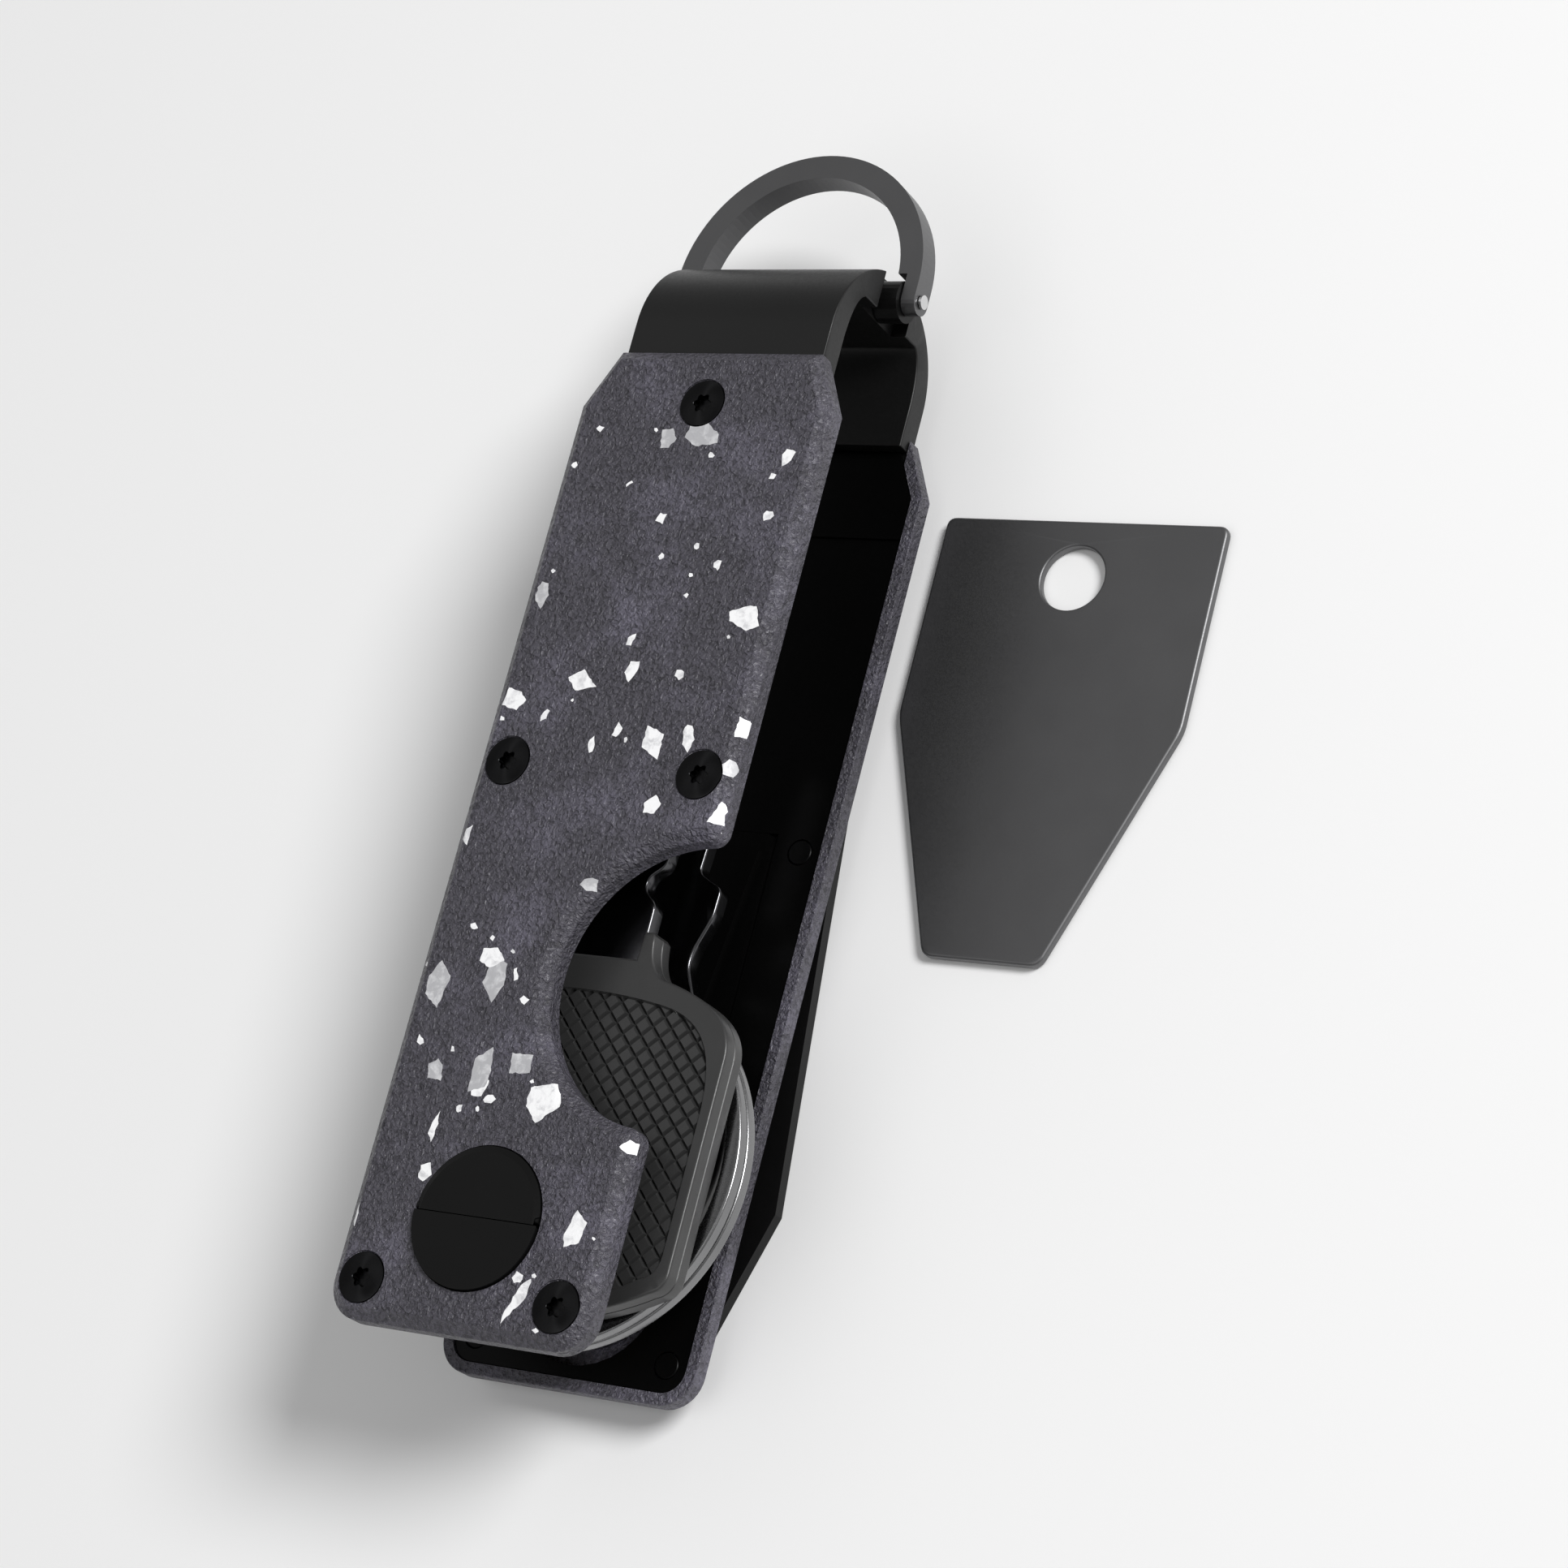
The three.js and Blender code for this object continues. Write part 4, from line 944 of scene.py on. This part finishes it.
def bowFace(bm, outline, grip, thick, face):  # one face of the head with its grip
    s = keySize
    gripXs, gripYs = [p[0] for p in grip], [p[1] for p in grip]
    floorLine = inset(grip, s["gripFall"])
    eye, boss = circle(0, 0, s["eyeR"] + s["eyeEdge"], 48), circle(0, 0, s["bossR"], 48)
    bossFoot = circle(0, 0, s["bossR"] + s["gripFall"], 48)
    topLine = inset(outline, s["edge"])
    step, half = s["pitch"], s["pitch"] / 2
    tip = half - s["grooveWide"] / 2
    loops = [topLine, eye, grip, floorLine, boss, bossFoot]
    reach = int(30 / step)
    lines = []
    for i in range(-reach, reach):
        for j in range(-reach, reach):
            u, v = (i + 0.5) * step, (j + 0.5) * step
            x, y = (u - v) * math.sqrt(0.5), (u + v) * math.sqrt(0.5)
            if abs(x) > max(gripXs) + 0.4 or not min(gripYs) < y < max(gripYs) + 0.3:
                continue
            if math.hypot(x, y) >= s["gripClear"]:
                lines.append(diamond(x, y, tip) + diamond(x, y, half))
    coords, faces, edges = [], [], []
    for loop in loops:
        faces.append(list(range(len(coords), len(coords) + len(loop))))
        coords.extend(Vector(p) for p in loop)
    for pair in lines:
        start = len(coords)
        coords.extend(Vector(p) for p in pair)
        for k in range(4):
            edges += [(start + k, start + (k + 1) % 4), (start + 4 + k, start + 4 + (k + 1) % 4),
                      (start + k, start + 4 + k)]
    flat, _, triangles, _, _, owners = delaunay_2d_cdt(coords, edges, faces, 1, 1e-4)
    inFloor = [False] * len(flat)
    outside = [False] * len(flat)
    kept = []
    for triangle, owner in zip(triangles, owners):
        owner = set(owner)
        if 0 not in owner or 1 in owner:
            continue
        kept.append(triangle)
        floorHere = 3 in owner and 5 not in owner
        topHere = 2 not in owner or 4 in owner
        for i in triangle:
            inFloor[i] = inFloor[i] or floorHere
            outside[i] = outside[i] or topHere
    verts = {}

    def height(i):
        if outside[i]:
            return 0.0
        p = flat[i]
        u, v = (p.x + p.y) * math.sqrt(0.5), (p.y - p.x) * math.sqrt(0.5)
        off = min(abs(u - round(u / step) * step), abs(v - round(v / step) * step))
        fall = s["grooveDeep"] * max(0.0, 1 - off / (s["grooveWide"] / 2))
        return (s["sink"] + fall) * (1.0 if inFloor[i] else 0.5)

    for triangle in kept:
        for i in triangle:
            if i not in verts:
                z = face * (thick / 2 - height(i))
                verts[i] = bm.verts.new((flat[i].x * mm, flat[i].y * mm, z * mm))
        bm.faces.new([verts[i] for i in triangle])


def turnedPlace(letter, z):
    turn = math.radians(keyShapes[letter]["turn"])
    return Matrix.Translation((0, 0, z * mm)) @ Matrix.Rotation(turn, 4, "Z")


def keyBow(letter):
    s = keySize
    node = f"key_{letter}_bow"
    low, high = nodeBox(node)
    thick = high.z - low.z
    bm = bmesh.new()
    outline, grip = keyShapes[letter]["bow"], keyShapes[letter]["grip"]
    r = s["edge"]
    rounds = [(r * (1 - math.sin(a)), thick / 2 - r * (1 - math.cos(a)))
              for a in [math.pi / 2 * i / 3 for i in range(4)]]
    wall = rounds + [(0, 0.07), (s["seam"], 0.0)]
    tower(bm, outline, wall + [(step, -z) for step, z in reversed(wall[:-1])])
    eye, soft = circle(0, 0, s["eyeR"], 48), s["eyeEdge"]
    tower(bm, eye, [(-soft, thick / 2), (0, thick / 2 - soft), (0, -thick / 2 + soft), (-soft, -thick / 2)])
    for face in (1, -1):
        bowFace(bm, outline, grip, thick, face)
    move = turnedPlace(letter, (low.z + high.z) / 2)
    finishMesh(bm, f"{node}_moulding", [keyNylon], f"key_{letter}", [node], move=move)


def keyBlade(letter):
    s = keySize
    node = f"key_{letter}_blade"
    low, high = nodeBox(node)
    half = s["bladeThick"] / 2
    right = keyShapes[letter]["edge"]
    outline = rounded(right + [(-x, y) for x, y in reversed(right)], s["bladeCorner"], 5)
    bm = bmesh.new()
    underside, top = tower(bm, outline, edgeProfile(-half, half, s["bladeEdge"]))
    y0, y1 = keyShapes[letter]["groove"]
    for face, side in ((top, 1), (underside, -1)):
        x0, x1 = -side * s["grooveX"] - s["grooveHalf"], -side * s["grooveX"] + s["grooveHalf"]
        mouth = rounded([(x0, y0), (x1, y0), (x1, y1), (x0, y1)], s["grooveCorner"], 4)
        brim = ring(bm, mouth, side * half)
        floor = ring(bm, inset(mouth, s["grooveWall"]), side * (half - s["blankGroove"]))
        skin(bm, floor, brim)
        cap(bm, floor)
        cap(bm, face, brim)
    move = turnedPlace(letter, (low.z + high.z) / 2)
    finishMesh(bm, f"{node}_milled", [nickelWithPaintedShade], f"key_{letter}", [node], move=move)


for letter in keyShapes:
    keyBow(letter)
    keyBlade(letter)
print("keys made")


# split ring: one flat wire wound twice, stepping from the lower turn to the upper
ringSize = {
    "wide": 1.35, "turnThick": 1.05, "gap": 0.12, "corner": 0.28, "step": 26.0, "startAt": 150.0,
    "endGap": 1.5, "slices": 300, "sharp": 40.0,
}


def splitRing():
    s = ringSize
    low, high = nodeBox("split_ring")
    centre = (low + high) / 2
    outer = (high.x - low.x) / 2
    middleR = outer - s["wide"] / 2
    rise = s["turnThick"] + s["gap"]
    u, v = s["wide"] / 2, s["turnThick"] / 2
    section = rounded([(-u, -v), (u, -v), (u, v), (-u, v)], s["corner"], 4)
    bm = bmesh.new()
    total = 720 - s["step"] - s["endGap"]
    before = None
    for i in range(s["slices"] + 1):
        turn = total * i / s["slices"]
        climb = min(1.0, max(0.0, (turn - (360 - s["step"])) / s["step"]))
        lift = (climb * climb * (3 - 2 * climb) - 0.5) * rise
        a = math.radians(turn + s["startAt"])
        here = [bm.verts.new(Vector((
            centre.x + math.cos(a) * (middleR + u), centre.y + math.sin(a) * (middleR + u),
            centre.z + lift + v)) * mm) for u, v in section]
        if before:
            skin(bm, before, here)
        else:
            bm.faces.new(here)
        before = here
    bm.faces.new(before)
    finishMesh(bm, "split_ring_coil", [ringSteel], "ring", ["split_ring"], sharp=s["sharp"])


splitRing()
print("ring made")


# tag: flat shield with rounded edges and one hanging hole
tagSize = {
    "straight": 16.2, "tipHalf": 4.8, "holeR": 2.6, "holeDrop": 4.6, "edge": 0.24, "holeEdge": 0.18,
    "corner": 0.8,
}


def tagPiece():
    s = tagSize
    low, high = nodeBox("tag")
    half = (high.x - low.x) / 2
    long = high.y - low.y
    corners = [(-s["tipHalf"], -long), (s["tipHalf"], -long), (half, -s["straight"]), (half, 0), (-half, 0),
               (-half, -s["straight"])]
    bm = bmesh.new()
    thick = high.z - low.z
    hole = circle(0, -s["holeDrop"], s["holeR"], 72)
    plate(bm, rounded(corners, s["corner"], 6), edgeProfile(0, thick, s["edge"], 4),
          [(hole, holeProfile(0, thick, s["holeEdge"], 3))])
    move = Matrix.Translation(Vector(((low.x + high.x) / 2, high.y, low.z)) * mm)
    finishMesh(bm, "tag_plate", [gunmetal], "loose_tag", ["tag"], move=move)


tagPiece()
print("tag made")


# studio: pale floor, round soft lights and an even white sky
studioPlan = {"sky": 0.3, "floorHalf": 4000.0, "floorDrop": 0.1, "floorTone": "#f3f3f3"}
lightPlan = {
    "edge": {"way": (0.70, 0.29, 0.65), "away": 1.1, "size": 0.42, "power": 11.0},
    "top": {"way": (-0.10, -0.35, 0.93), "away": 0.8, "size": 0.7, "power": 0.9},
    "sheen": {"way": (-0.52, 0.286, 0.804), "away": 0.7, "size": 0.3, "power": 0.08},
}
middle = (cadLow + cadHigh) / 2


def makeLight(name, plan):
    data = bpy.data.lights.new(name, "AREA")
    data.shape = "DISK"
    data.size = plan["size"]
    data.energy = plan["power"]
    light = bpy.data.objects.new(name, data)
    studio.collection.objects.link(light)
    way = Vector(plan["way"]).normalized()
    light.location = middle + way * plan["away"]
    light.rotation_euler = way.to_track_quat("Z", "Y").to_euler()


for name, plan in lightPlan.items():
    makeLight(name, plan)

sky = bpy.data.worlds.new("studioAir")
sky.use_nodes = True
sky.node_tree.nodes["Background"].inputs["Color"].default_value = (1, 1, 1, 1)
sky.node_tree.nodes["Background"].inputs["Strength"].default_value = studioPlan["sky"]
studio.world = sky

floorMesh = bmesh.new()
bmesh.ops.create_grid(floorMesh, x_segments=2, y_segments=2, size=studioPlan["floorHalf"] * mm)
floorData = bpy.data.meshes.new("floor")
floorMesh.to_mesh(floorData)
floorMesh.free()
floorPiece = bpy.data.objects.new("floor", floorData)
floorPiece.location.z = cadLow.z - studioPlan["floorDrop"] * mm
studio.collection.objects.link(floorPiece)
# matt painted board: pale and even, with no gloss
floorPaint = newMaterial(
    "paleFloorPaint", Base_Color=srgb(studioPlan["floorTone"]), Roughness=0.9, Specular_IOR_Level=0.0,
)[0]
floorData.materials.append(floorPaint)
print("studio made")
